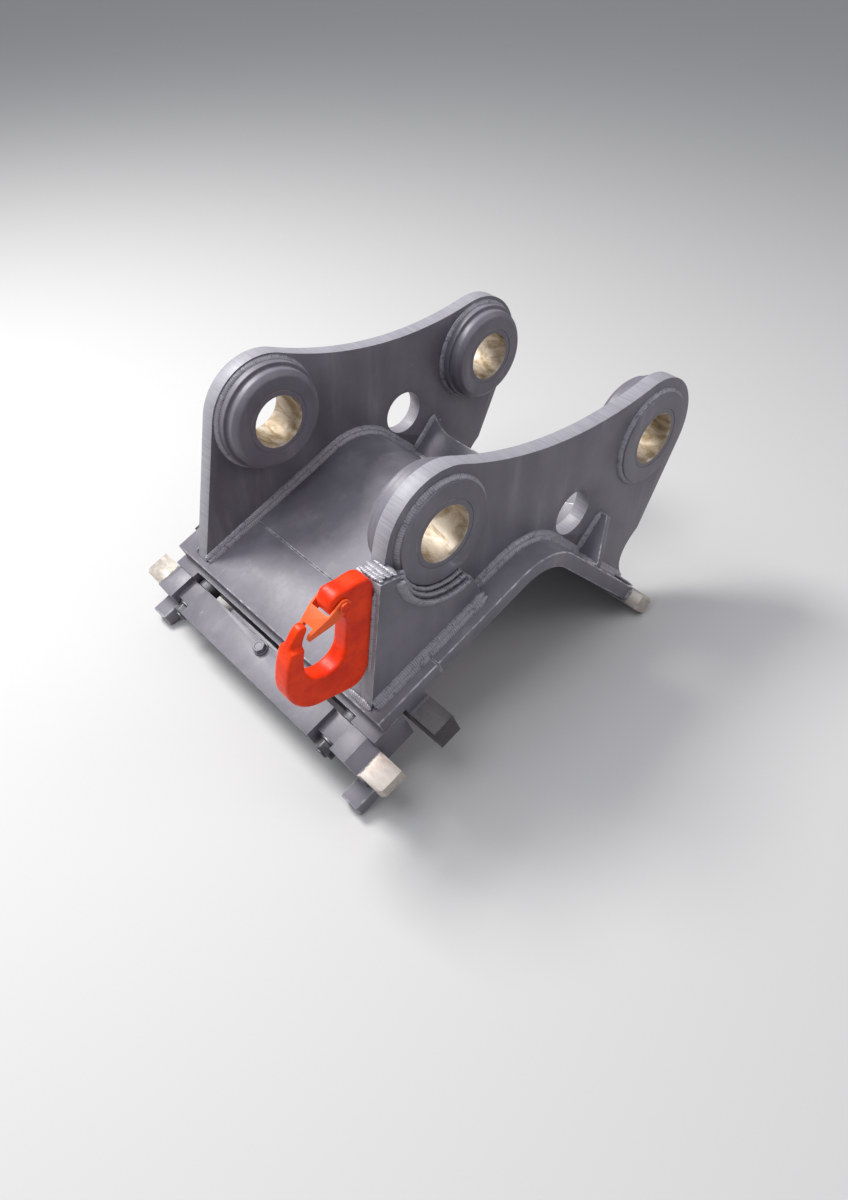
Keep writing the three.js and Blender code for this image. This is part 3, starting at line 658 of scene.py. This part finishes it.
def tagCut(mesh):
    # cut = 1 on the faces across the plate's thickness
    layer = mesh.attributes.new("cut", "FLOAT", "FACE")
    for polygon in mesh.polygons:
        layer.data[polygon.index].value = 1.0 if abs(polygon.normal.y) < 0.3 else 0.0


def makePlates():
    for name, (width, look) in easedEdges.items():
        for node in nodesOf(name):
            mesh = roundedNode(node, width)
            if name in flameCut:
                tagCut(mesh)
            obj = newObject("painted_" + node, mesh, look)
            finish(obj, bodyOf[node], [node])
    for name, width in fixings.items():
        for node in nodesOf(name):
            obj = newObject("plated_" + node, roundedNode(node, width, 2, 40), platedLook)
            finish(obj, bodyOf[node], [node])


boltHead = {
    "flange": 12,
    "flangeHigh": 2.6,
    "flats": 9.2,  # from the middle to a flat
    "high": 10,
    "shank": 5,
    "seat": -27.7,  # top of the locking bar, in the nose frame
    "from": -60,
    "sides": 48,
}


def boltRows():
    # (radius, height, 1 where the ring is a hexagon) from the shank's end to the dished top
    seat = boltHead["seat"]
    flangeTop = seat + boltHead["flangeHigh"]
    top = seat + boltHead["high"]
    corner = boltHead["flats"] / math.cos(math.radians(30))
    return [
        (boltHead["shank"], boltHead["from"], 0),
        (boltHead["shank"], seat, 0),
        (boltHead["flange"] - 0.4, seat, 0),
        (boltHead["flange"], seat + 0.5, 0),
        (boltHead["flange"], flangeTop - 0.6, 0),
        (boltHead["flange"] - 0.8, flangeTop, 0),
        (corner, flangeTop, 1),
        (corner, top - 1.6, 1),
        (corner - 0.5, top - 0.9, 1),
        (boltHead["flats"] - 0.4, top, 0),
        (boltHead["flats"] - 2.4, top, 0),
        (boltHead["flats"] - 3.2, top - 0.7, 0),
    ]


def makeStripBolt():
    spot = inNose @ middle("strip_bolt")
    work = bmesh.new()
    sides = boltHead["sides"]
    rings = []
    for radius, height, hexagon in boltRows():
        loop = []
        for step in range(sides):
            angle = 2 * math.pi * step / sides
            fold = (angle + math.pi / 6) % (math.pi / 3) - math.pi / 6
            flat = boltHead["flats"] / math.cos(fold)
            reach = min(flat, radius) if hexagon else radius
            place = Vector((spot.x + reach * math.cos(angle), spot.y + reach * math.sin(angle), height))
            loop.append(work.verts.new(nose @ place))
        rings.append(loop)
    for low, high in zip(rings, rings[1:]):
        for step in range(sides):
            after = (step + 1) % sides
            work.faces.new((low[step], low[after], high[after], high[step]))
    work.faces.new(list(reversed(rings[0])))
    work.faces.new(rings[-1])
    bmesh.ops.recalc_face_normals(work, faces=work.faces)
    mesh = bpy.data.meshes.new("strip_bolt")
    work.to_mesh(mesh)
    work.free()
    smoothMesh(mesh, 28)
    finish(newObject("painted_strip_bolt", mesh, plain), "locking_bar", ["strip_bolt"])


makePlates()
makeStripBolt()
print("plates, bars and fixings ready")


# bosses and bushes

boss = {
    "bore": 40,
    "bush": 50,
    "spigot": 76,
    "noseRing": 80,
    "stepRing": 86,
    "inside": 146.5,
    "stepFrom": 166.2,
    "plateIn": 182.2,
    "outside": 216,
    "sink": 0.6,
    "lip": 2.2,
    "steps": 112,
}


def bossSection():
    hole = boss["bush"] + 0.25
    return roundedSection([
        (hole, boss["inside"], 0.8),
        (boss["noseRing"] - 8, boss["inside"], 2.5),
        (boss["noseRing"], boss["inside"] + 8, 2.5),
        (boss["noseRing"], boss["stepFrom"], 1.2),
        (boss["stepRing"], boss["stepFrom"], 1.8),
        (boss["stepRing"], boss["plateIn"], 0.6),
        (boss["spigot"], boss["plateIn"], 0),
        (boss["spigot"], boss["outside"], 1.8),
        (hole, boss["outside"], 0.8),
    ])


def bushSection():
    start = boss["inside"] + boss["sink"]
    end = boss["outside"] - boss["sink"]
    lip = boss["lip"]
    return roundedSection([
        (boss["bore"], start + 3, 1.0),
        (boss["bore"] + lip, start, 1.2),
        (boss["bush"], start, 0.6),
        (boss["bush"], end, 0.6),
        (boss["bore"] + lip, end, 1.2),
        (boss["bore"], end - 3, 1.0),
    ])


def paintEnds(mesh):
    # face = 1 on the end faces, seen from along y
    layer = mesh.attributes.new("face", "FLOAT", "FACE")
    for polygon in mesh.polygons:
        layer.data[polygon.index].value = 1.0 if abs(polygon.normal.y) > 0.9 else 0.0


def makeBosses():
    for place, pin in (("front", frontPin), ("rear", rearPin)):
        at = inArm @ Vector((pin.x, 0, pin.z))
        for word, side in (("right", -1), ("left", 1)):
            turn = arm @ Matrix.Translation(at) @ Matrix.Diagonal((1, side, 1, 1))
            ring = f"{place}_boss_{word}"
            liner = f"{place}_bush_{word}"
            obj = newObject("painted_" + ring, latheMesh(ring, bossSection(), boss["steps"], turn), plain)
            finish(obj, bodyOf[ring], [ring])
            sleeve = latheMesh(liner, bushSection(), boss["steps"], turn)
            paintEnds(sleeve)
            obj = newObject("turned_" + liner, sleeve, bushLook)
            finish(obj, bodyOf[liner], [liner])


makeBosses()
print("bosses and bushes ready")


# hook and latch

hook = {"grain": 1.3, "softening": 52, "latchEdge": 0.9}


def makeHook():
    work = mergedCopy("lifting_hook")
    mesh = bpy.data.meshes.new("lifting_hook_work")
    work.to_mesh(mesh)
    work.free()
    obj = newObject("forged_lifting_hook", mesh, hookLook)
    remesh = obj.modifiers.new("grain", "REMESH")
    remesh.mode = "VOXEL"
    remesh.voxel_size = hook["grain"] * mm
    soften = obj.modifiers.new("soften", "SMOOTH")
    soften.factor = 0.5
    soften.iterations = hook["softening"]
    shaped = bpy.data.meshes.new_from_object(obj.evaluated_get(bpy.context.evaluated_depsgraph_get()))
    obj.modifiers.clear()
    obj.data = shaped
    shaped.shade_smooth()
    finish(obj, "coupler_frame", ["lifting_hook"])
    pin = newObject("painted_latch_pin", roundedNode("latch_pin", 1.0, 2, 40), hookLook)
    finish(pin, "coupler_frame", ["latch_pin"])
    latch = newObject("pressed_hook_latch", roundedNode("hook_latch", hook["latchEdge"], 2, 35), latchLook)
    finish(latch, "hook_latch", ["hook_latch"])


makeHook()
print("hook and latch ready")


# geometry node helpers

class Tree:
    # a small helper that builds a geometry node tree and runs it on a mesh
    def __init__(self, name, inputs):
        self.group = bpy.data.node_groups.new(name, "GeometryNodeTree")
        face = self.group.interface
        face.new_socket("Geometry", in_out="INPUT", socket_type="NodeSocketGeometry")
        for key, kind in inputs.items():
            face.new_socket(key, in_out="INPUT", socket_type="NodeSocket" + kind)
        face.new_socket("Geometry", in_out="OUTPUT", socket_type="NodeSocketGeometry")
        self.start = self.group.nodes.new("NodeGroupInput").outputs
        self.end = self.group.nodes.new("NodeGroupOutput").inputs

    def add(self, kind, inputs=None, **settings):
        node = self.group.nodes.new(kind)
        for key, value in settings.items():
            setattr(node, key, value)
        for key, value in (inputs or {}).items():
            socket = node.inputs[key]
            if isinstance(value, bpy.types.NodeSocket):
                self.group.links.new(value, socket)
            else:
                socket.default_value = value
        return node

    def math(self, operation, first, second=0.0):
        return self.add("ShaderNodeMath", {0: first, 1: second}, operation=operation).outputs[0]

    def vector(self, operation, inputs):
        return self.add("ShaderNodeVectorMath", inputs, operation=operation).outputs[0]

    def named(self, name, kind):
        return self.add("GeometryNodeInputNamedAttribute", {"Name": name}, data_type=kind).outputs[0]

    def store(self, geometry, name, value, kind):
        inputs = {"Geometry": geometry, "Name": name, "Value": value}
        node = self.add("GeometryNodeStoreNamedAttribute", inputs, data_type=kind, domain="POINT")
        return node.outputs[0]

    def close(self, geometry):
        real = self.add("GeometryNodeRealizeInstances", {0: geometry})
        inputs = {0: real.outputs[0], "Material": self.start["Material"]}
        painted = self.add("GeometryNodeSetMaterial", inputs)
        self.group.links.new(painted.outputs[0], self.end["Geometry"])

    def run(self, name, mesh, material, values):
        obj = bpy.data.objects.new(name, mesh)
        bpy.context.scene.collection.objects.link(obj)
        modifier = obj.modifiers.new("nodes", "NODES")
        modifier.node_group = self.group
        for item in self.group.interface.items_tree:
            if item.in_out == "INPUT" and item.name in values:
                modifier[item.identifier] = values[item.name]
            if item.in_out == "INPUT" and item.name == "Material":
                modifier[item.identifier] = material
        view = bpy.context.evaluated_depsgraph_get()
        made = bpy.data.meshes.new_from_object(obj.evaluated_get(view))
        obj.modifiers.clear()
        obj.data = made
        return obj


# weld beads

bead = {
    "step": 0.00085,  # metres
    "pitch": 0.0036,
    "crescent": 0.0022,
    "wander": 0.0016,
    "ripple": 0.13,  # shares of the half width
    "flatness": 0.50,
    "halfWidth": 0.66,  # shares of the leg
    "lift": 0.30,
    "thinEnd": 0.45,
    "sides": 12,
}
pairRuns = {
    # shift along the face and size of each run, as shares of the leg
    "low": (0.26, 0.74),
    "high": (0.46, 0.66),
}


def beadTree():
    # sweeps a rippled bead along each line; corner points away from the joint, size is its half width
    tree = Tree("weldBead", {
        "Material": "Material", "Step": "Float", "Pitch": "Float", "Ripple": "Float",
        "Crescent": "Float", "Wander": "Float", "Flatness": "Float", "Sides": "Int",
    })
    inputs = tree.start
    curve = tree.add("GeometryNodeMeshToCurve", {"Mesh": inputs["Geometry"]}).outputs[0]
    fine = tree.add("GeometryNodeResampleCurve", {"Curve": curve, "Length": inputs["Step"]}, mode="LENGTH")
    run = tree.add("GeometryNodeSplineParameter").outputs["Length"]
    place = tree.add("GeometryNodeInputPosition").outputs[0]
    # the run wanders a little
    shake = tree.add("ShaderNodeTexNoise", {"Vector": place, "Scale": 90.0, "Detail": 2.0}).outputs["Color"]
    centred = tree.vector("SUBTRACT", {0: shake, 1: (0.5, 0.5, 0.5)})
    drift = tree.vector("SCALE", {0: centred, "Scale": inputs["Wander"]})
    moved = tree.add("GeometryNodeSetPosition", {"Geometry": fine.outputs[0], "Offset": drift})
    corner = tree.named("corner", "FLOAT_VECTOR")
    facing = {"Curve": moved.outputs[0], "Normal": corner}
    faced = tree.add("GeometryNodeSetCurveNormal", facing, mode="FREE")
    # each ripple swells fast and falls slowly
    phase = tree.math("FRACT", tree.math("DIVIDE", run, inputs["Pitch"]))
    wave = tree.math("SINE", tree.math("MULTIPLY", tree.math("POWER", phase, 0.7), math.pi))
    uneven = tree.add("ShaderNodeTexNoise", {"Vector": place, "Scale": 210.0, "Detail": 1.0}).outputs["Fac"]
    rippled = tree.math("MULTIPLY", wave, inputs["Ripple"])
    swell = tree.math("ADD", rippled, tree.math("MULTIPLY", uneven, 0.42))
    radius = tree.math("MULTIPLY", tree.named("size", "FLOAT"), tree.math("ADD", swell, 0.70))
    waved = tree.store(faced.outputs[0], "ripple", wave, "FLOAT")
    tangent = tree.add("GeometryNodeInputTangent").outputs[0]
    aimed = tree.store(waved, "travel", tangent, "FLOAT_VECTOR")
    # a flattened round section, which keeps how far each point lies across the bead
    circle = tree.add("GeometryNodeCurvePrimitiveCircle", {"Resolution": inputs["Sides"], "Radius": 1.0})
    shape = tree.add("ShaderNodeCombineXYZ", {"X": inputs["Flatness"], "Y": 1.0, "Z": 1.0})
    squat = tree.add("GeometryNodeTransform", {"Geometry": circle.outputs[0], "Scale": shape.outputs[0]})
    parts = tree.add("ShaderNodeSeparateXYZ", {"Vector": place})
    section = tree.store(squat.outputs[0], "across", parts.outputs["Y"], "FLOAT")
    swept = tree.add("GeometryNodeCurveToMesh", {
        "Curve": aimed, "Profile Curve": section, "Scale": radius, "Fill Caps": True,
    })
    # the middle of the bead runs ahead of its edges, so the ripples are crescents
    width = tree.named("across", "FLOAT")
    inward = tree.math("SUBTRACT", 1.0, tree.math("MULTIPLY", width, width))
    lead = tree.math("MULTIPLY", inward, inputs["Crescent"])
    ahead = tree.vector("SCALE", {0: tree.named("travel", "FLOAT_VECTOR"), "Scale": lead})
    bowed = tree.add("GeometryNodeSetPosition", {"Geometry": swept.outputs[0], "Offset": ahead})
    smooth = tree.add("GeometryNodeSetShadeSmooth", {"Geometry": bowed.outputs[0]})
    tree.close(smooth.outputs[0])
    return tree


def directionAt(directions, k):
    # one direction for a whole line, or one for each of its points
    return Vector(directions[k] if isinstance(directions, list) else directions)


def thinEnd(spots, leg):
    # thins the start of a run over one leg length, and returns it the other way round
    end, outward, share = spots[0]
    inner = spots[1][0]
    reach = min(leg / max((inner - end).length, 0.001), 0.45)
    thinned = [(end, outward, bead["thinEnd"]), (end.lerp(inner, reach), outward, share)] + spots[1:]
    return list(reversed(thinned))


class Beads:
    # collects weld lines as edges with a corner direction and a size at each point
    def __init__(self):
        self.points = []
        self.edges = []
        self.corners = []
        self.sizes = []

    def line(self, place, points, first, second, leg, closed=False):
        # points in the given frame; first and second point along the two joined faces, away from the joint
        start = len(self.points)
        spots = []
        for k, point in enumerate(points):
            outward = (directionAt(first, k) + directionAt(second, k)).normalized()
            spots.append((Vector(point) + outward * leg * bead["lift"], outward, 1.0))
        if not closed:
            spots = thinEnd(thinEnd(spots, leg), leg)
        for k, (spot, outward, share) in enumerate(spots):
            self.points.append(place @ spot)
            self.corners.append((place.to_3x3() @ outward).normalized())
            self.sizes.append(leg * bead["halfWidth"] * share * mm)
            if k:
                self.edges.append((start + k - 1, start + k))
        if closed:
            self.edges.append((len(self.points) - 1, start))

    def pair(self, place, points, first, second, leg):
        # two runs side by side that fill one corner, the low one along the second face
        for way, (shift, size) in ((second, pairRuns["low"]), (first, pairRuns["high"])):
            moved = [
                Vector(point) + directionAt(way, k).normalized() * leg * shift
                for k, point in enumerate(points)
            ]
            self.line(place, moved, first, second, leg * size)

    def make(self, name, tree, body):
        mesh = bpy.data.meshes.new(name + "_lines")
        mesh.from_pydata(self.points, self.edges, [])
        mesh.attributes.new("corner", "FLOAT_VECTOR", "POINT")
        mesh.attributes.new("size", "FLOAT", "POINT")
        for k in range(len(self.points)):
            mesh.attributes["corner"].data[k].vector = self.corners[k]
            mesh.attributes["size"].data[k].value = self.sizes[k]
        obj = tree.run(name, mesh, weldLook, {
            "Step": bead["step"], "Pitch": bead["pitch"], "Ripple": bead["ripple"],
            "Crescent": bead["crescent"], "Wander": bead["wander"], "Flatness": bead["flatness"],
            "Sides": bead["sides"],
        })
        finish(obj, body)


welds = {
    # leg lengths
    "seam": 13.5,
    "bossOuter": 8,
    "bossInner": 7.5,
    "cheek": 15,
    "cheekEnd": 9,
    "scoop": 12,
    "crown": 8.5,
    "rib": 9,
    "bar": 9,
    "barUnder": 7,
    "toe": 8,
    "hook": 5,
}
weldPlaces = {
    # along the nose frame
    "noseStart": 12,
    "cheekFoot": (14, 120, 234),
    "cheekRear": 232.5,
    "cheekRise": (3, 15, 28),
    "cheekToe": 10.5,
    "behindCheek": 238,
    # scoop: (beyond the spigot, out from the side plate) of each run, and degrees round the front pin
    "scoopRuns": ((4, 5), (9, 12), (15, 20)),
    "scoopArc": (196, 297),
    # crown and hook, in the arm frame
    "crownFrom": -116,
    "crownPitch": 5.6,
    "crownRows": 5,
    "crownTop": -20,
    "crownRise": 1.2,
    "crownInset": (2, 3),  # from the inner and the outer edge
    "crownStagger": (4, 3),
    "hookBack": -120.6,
    "hookRun": (-168, -100, -36),
    # along the tail frame
    "tailEnd": 293,
    "barAt": 261.1,
    "barEndFace": 260.1,
    "barEndRun": (-4, -12, -21),
    "toeAt": 296,
    "ribFront": 93,
    "ribBack": 109,
    "gussetRise": (6, 40, 76),
    "gussetFoot": (211.5, 230, 250),
    "ribRise": (6, 40, 78),
    "cheekThick": 22,
    # how far a run stays off a face or short of an edge
    "offFace": 0.3,
    "jointInset": 2,
    "endInset": 1,
    "ribInset": 4,
}


def saddlePath(fromNose, toTail, y):
    # top line of the saddle in the arm frame, with its normals
    points = [(noseInArm @ Vector((fromNose, y, 0)))]
    normals = [frontNormal]
    start, end = 90 + saddle["frontSlope"], 90 - saddle["rearSlope"]
    for step in range(25):
        angle = math.radians(start + (end - start) * step / 24)
        normal = Vector((math.cos(angle), 0, math.sin(angle)))
        points.append(crest + Vector((0, y, 0)) + normal * saddle["crestRadius"])
        normals.append(normal)
    points.append(tailInArm @ Vector((toTail, y, 0)))
    normals.append(rearNormal)
    return points, normals


def ringPath(centre, radius, y, start=0, end=360, steps=72):
    closed = end - start >= 360
    count = steps if closed else steps + 1
    points, normals = [], []
    for step in range(count):
        angle = math.radians(start + (end - start) * step / steps)
        normal = Vector((math.cos(angle), 0, math.sin(angle)))
        points.append(centre + normal * radius + Vector((0, y, 0)))
        normals.append(normal)
    return points, normals, closed


def saddleSeams(runs):
    start, end = weldPlaces["noseStart"], weldPlaces["tailEnd"]
    for side in (-1, 1):
        points, normals = saddlePath(start, end, side * saddle["plateInside"])
        runs.pair(arm, points, normals, Vector((0, -side, 0)), welds["seam"])
        # on the right the outer seam starts behind the cheek plate
        begin = weldPlaces["behindCheek"] if side < 0 else start
        points, normals = saddlePath(begin, end, side * saddle["plateOutside"])
        runs.pair(arm, points, normals, Vector((0, side, 0)), welds["seam"])


def bossRings(runs):
    for pin in (frontPin, rearPin):
        centre = inArm @ Vector((pin.x, 0, pin.z))
        for side in (-1, 1):
            points, normals, closed = ringPath(centre, boss["stepRing"], side * saddle["plateInside"])
            runs.line(arm, points, normals, Vector((0, -side, 0)), welds["bossInner"], closed)
            points, normals, closed = ringPath(centre, boss["spigot"], side * saddle["plateOutside"])
            runs.line(arm, points, normals, Vector((0, side, 0)), welds["bossOuter"], closed)


def cheekWelds(runs):
    outer = saddle["plateOutside"]
    out = outer + weldPlaces["cheekThick"]
    off = weldPlaces["offFace"]
    foot = [(x, -out - off, 0) for x in weldPlaces["cheekFoot"]]
    runs.pair(nose, foot, (0, 0, 1), (0, -1, 0), welds["cheek"])
    rise = [(weldPlaces["cheekRear"], -outer - off, z) for z in weldPlaces["cheekRise"]]
    runs.line(nose, rise, (1, 0, 0), (0, -1, 0), welds["cheekEnd"])
    toe = [(weldPlaces["cheekToe"], -y, 0) for y in (saddle["plateInside"], outer, out)]
    runs.line(nose, toe, (-1, 0, 0), (0, 0, 1), welds["cheekEnd"])
    # runs round the front boss in the scoop of the cheek plate
    for beyond, outwards in weldPlaces["scoopRuns"]:
        radius = boss["spigot"] + beyond
        arc = ringPath(Vector((0, 0, 0)), radius, -outer - outwards, *weldPlaces["scoopArc"], 40)
        points, normals, closed = arc
        runs.line(arm, points, (0, -1, 0), normals, welds["scoop"])


def hookWelds(runs):
    inner = saddle["plateInside"]
    out = saddle["plateOutside"] + weldPlaces["cheekThick"]
    # a block of short runs over the top of the pad and the cheek plate
    for step in range(weldPlaces["crownRows"]):
        x = weldPlaces["crownFrom"] + step * weldPlaces["crownPitch"]
        start = inner + weldPlaces["crownInset"][0] + weldPlaces["crownStagger"][0] * (step % 2)
        end = out - weldPlaces["crownInset"][1] - weldPlaces["crownStagger"][1] * (step % 2)
        height = weldPlaces["crownTop"] + weldPlaces["crownRise"] * (step % 3)
        row = [(x, -y, height) for y in (start, (inner + out) / 2, end)]
        runs.line(arm, row, (0, 0, 1), (0, 0, 1), welds["crown"])
    # the hook's back on both sides
    low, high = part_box("lifting_hook")
    for y, away in ((high.y / mm, 1), (low.y / mm, -1)):
        back = [(weldPlaces["hookBack"], y, z) for z in weldPlaces["hookRun"]]
        runs.line(arm, back, (-1, 0, 0), (0, away, 0), welds["hook"])


def rearBarWelds(runs):
    inner, outer, edge = saddle["plateInside"], saddle["plateOutside"], saddle["edge"]
    # butt joint on top
    reach = edge - weldPlaces["jointInset"]
    joint = [(weldPlaces["barAt"], y, 0) for y in (-reach, 0, reach)]
    runs.line(tail, joint, (0, 0, 1), (0, 0, 1), welds["bar"])
    # toes of the side plates and the joint's ends
    for side in (-1, 1):
        toes = [(weldPlaces["toeAt"], side * y, 0) for y in (inner, (inner + outer) / 2, outer)]
        runs.line(tail, toes, (1, 0, 0), (0, 0, 1), welds["toe"])
        endFace = side * (edge - weldPlaces["endInset"])
        end = [(weldPlaces["barEndFace"], endFace, z) for z in weldPlaces["barEndRun"]]
        runs.line(tail, end, (-1, 0, 0), (0, side, 0), welds["toe"])
    under = [(weldPlaces["barAt"], y, -saddle["thick"]) for y in (-reach, 0, reach)]
    runs.line(tail, under, (1, 0, -1), (0, 0, -1), welds["barUnder"])


def stiffenerWelds(runs):
    inner, outer = saddle["plateInside"], saddle["plateOutside"]
    faces = ((weldPlaces["ribFront"], -1), (weldPlaces["ribBack"], 1))
    for side in (-1, 1):
        for x, away in faces:
            upright = [(x, side * outer, z) for z in weldPlaces["gussetRise"]]
            runs.line(tail, upright, (away, 0, 0), (0, side, 0), welds["rib"])
            foot = [(x, side * y, 0) for y in weldPlaces["gussetFoot"]]
            runs.line(tail, foot, (away, 0, 0), (0, 0, 1), welds["rib"])
            upright = [(x, side * inner, z) for z in weldPlaces["ribRise"]]
            runs.line(tail, upright, (away, 0, 0), (0, -side, 0), welds["rib"])
    reach = inner - weldPlaces["ribInset"]
    for x, away in faces:
        foot = [(x, y, 0) for y in (-reach, 0, reach)]
        runs.line(tail, foot, (away, 0, 0), (0, 0, 1), welds["rib"])


def makeWelds():
    tree = beadTree()
    groups = {
        "saddle_welds": (saddleSeams,),
        "boss_welds": (bossRings,),
        "stiffener_welds": (cheekWelds, hookWelds, rearBarWelds, stiffenerWelds),
    }
    for name, layers in groups.items():
        runs = Beads()
        for layer in layers:
            layer(runs)
        runs.make(name, tree, "coupler_frame")


makeWelds()
print("welds ready")


# guide rods and springs

coilSizes = {
    "lockRadius": 14.5,
    "lockWire": 5,
    "lockLong": 50,
    "lockFrom": 34.3,  # in the nose frame
    "lockTurns": 5.0,
    "rodRadius": 10,
    "thread": 1.0,
    "threadPitch": 2.0,
    "ridgeInset": 0.75,
    "ridgeWire": 1.5,
    "frontThread": (-78.6, -55.5),
    "backThread": (84.0, 107.9),
    "latchRadius": 6.8,
    "latchWire": 2.0,
    "latchTurns": 2.0,
}


alongX = Matrix.Rotation(math.radians(90), 4, "Y")


def coilTree():
    # wire wound on a helix along z
    tree = Tree("coil", {
        "Material": "Material", "Radius": "Float", "Length": "Float", "Turns": "Float",
        "Wire": "Float", "Per turn": "Int", "Round": "Int",
    })
    inputs = tree.start
    spiral = tree.add("GeometryNodeCurveSpiral", {
        "Resolution": inputs["Per turn"], "Rotations": inputs["Turns"], "Start Radius": inputs["Radius"],
        "End Radius": inputs["Radius"], "Height": inputs["Length"],
    })
    wire = tree.add("GeometryNodeCurvePrimitiveCircle", {
        "Resolution": inputs["Round"], "Radius": inputs["Wire"],
    })
    swept = tree.add("GeometryNodeCurveToMesh", {
        "Curve": spiral.outputs[0], "Profile Curve": wire.outputs[0], "Scale": 1.0, "Fill Caps": True,
    })
    smooth = tree.add("GeometryNodeSetShadeSmooth", {"Geometry": swept.outputs[0]})
    tree.close(smooth.outputs[0])
    return tree


def windCoil(tree, name, place, material, radius, length, turns, wire, perTurn, roundSteps):
    mesh = bpy.data.meshes.new(name + "_seed")
    obj = tree.run(name, mesh, material, {
        "Radius": radius * mm, "Length": (length - wire) * mm, "Turns": turns, "Wire": wire / 2 * mm,
        "Per turn": perTurn, "Round": roundSteps,
    })
    obj.data.transform(place @ Matrix.Scale(1 / mm, 4) @ Matrix.Translation((0, 0, wire / 2 * mm)))
    return obj


def joinInto(target, other):
    work = bmesh.new()
    work.from_mesh(target.data)
    work.from_mesh(other.data)
    work.to_mesh(target.data)
    work.free()
    bpy.data.objects.remove(other)


def makeLockSpring(tree, word, at):
    # spring between the sleeve and the collar, wound at one length; the real spring gets shorter as the bar
    # comes out
    start = Vector((coilSizes["lockFrom"], at.y, at.z))
    place = nose @ Matrix.Translation(start) @ alongX
    obj = windCoil(tree, "wound_lock_spring_" + word, place, springLook, coilSizes["lockRadius"],
                   coilSizes["lockLong"], coilSizes["lockTurns"], coilSizes["lockWire"], 40, 14)
    finish(obj, "coupler_frame", ["lock_spring_" + word])
    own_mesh(obj)


def makeGuideRod(tree, word, at):
    full = coilSizes["rodRadius"]
    thin = full - coilSizes["thread"]
    frontStart, frontEnd = coilSizes["frontThread"]
    backStart, backEnd = coilSizes["backThread"]
    section = [
        (0.01, frontStart), (thin - 1, frontStart), (thin, frontStart + 1), (thin, frontEnd),
        (full, frontEnd + 1), (full, backStart - 1), (thin, backStart), (thin, backEnd - 1),
        (thin - 1, backEnd), (0.01, backEnd),
    ]
    turn = nose @ Matrix.Translation((0, at.y, at.z)) @ Matrix.Rotation(math.radians(-90), 4, "Z")
    rod = newObject("threaded_guide_rod_" + word, latheMesh("rod", section, 40, turn), platedLook)
    for start, end in ((frontStart + 1, frontEnd), (backStart, backEnd - 1)):
        place = nose @ Matrix.Translation((start, at.y, at.z)) @ alongX
        ridge = windCoil(tree, "ridge", place, platedLook, full - coilSizes["ridgeInset"], end - start,
                         (end - start) / coilSizes["threadPitch"], coilSizes["ridgeWire"], 24, 6)
        joinInto(rod, ridge)
    smoothMesh(rod.data, 40)
    finish(rod, "locking_bar", ["guide_rod_" + word])


def makeLatchSpring(tree):
    # return spring of the latch, in the hook's recess
    low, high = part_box("latch_spring")
    centre = (low + high) / 2
    alongY = Matrix.Rotation(math.radians(-90), 4, "X") @ Matrix.Scale(mm, 4)
    place = Matrix.Translation((centre.x, low.y, centre.z)) @ alongY
    obj = windCoil(tree, "wound_latch_spring", place, springLook, coilSizes["latchRadius"],
                   (high.y - low.y) / mm, coilSizes["latchTurns"], coilSizes["latchWire"], 32, 10)
    finish(obj, "coupler_frame", ["latch_spring"])


def makeGuides():
    tree = coilTree()
    for word in ("right", "left"):
        at = inNose @ middle("guide_sleeve_" + word)
        makeLockSpring(tree, word, at)
        makeGuideRod(tree, word, at)
    makeLatchSpring(tree)


makeGuides()
print("guide rods and springs ready")
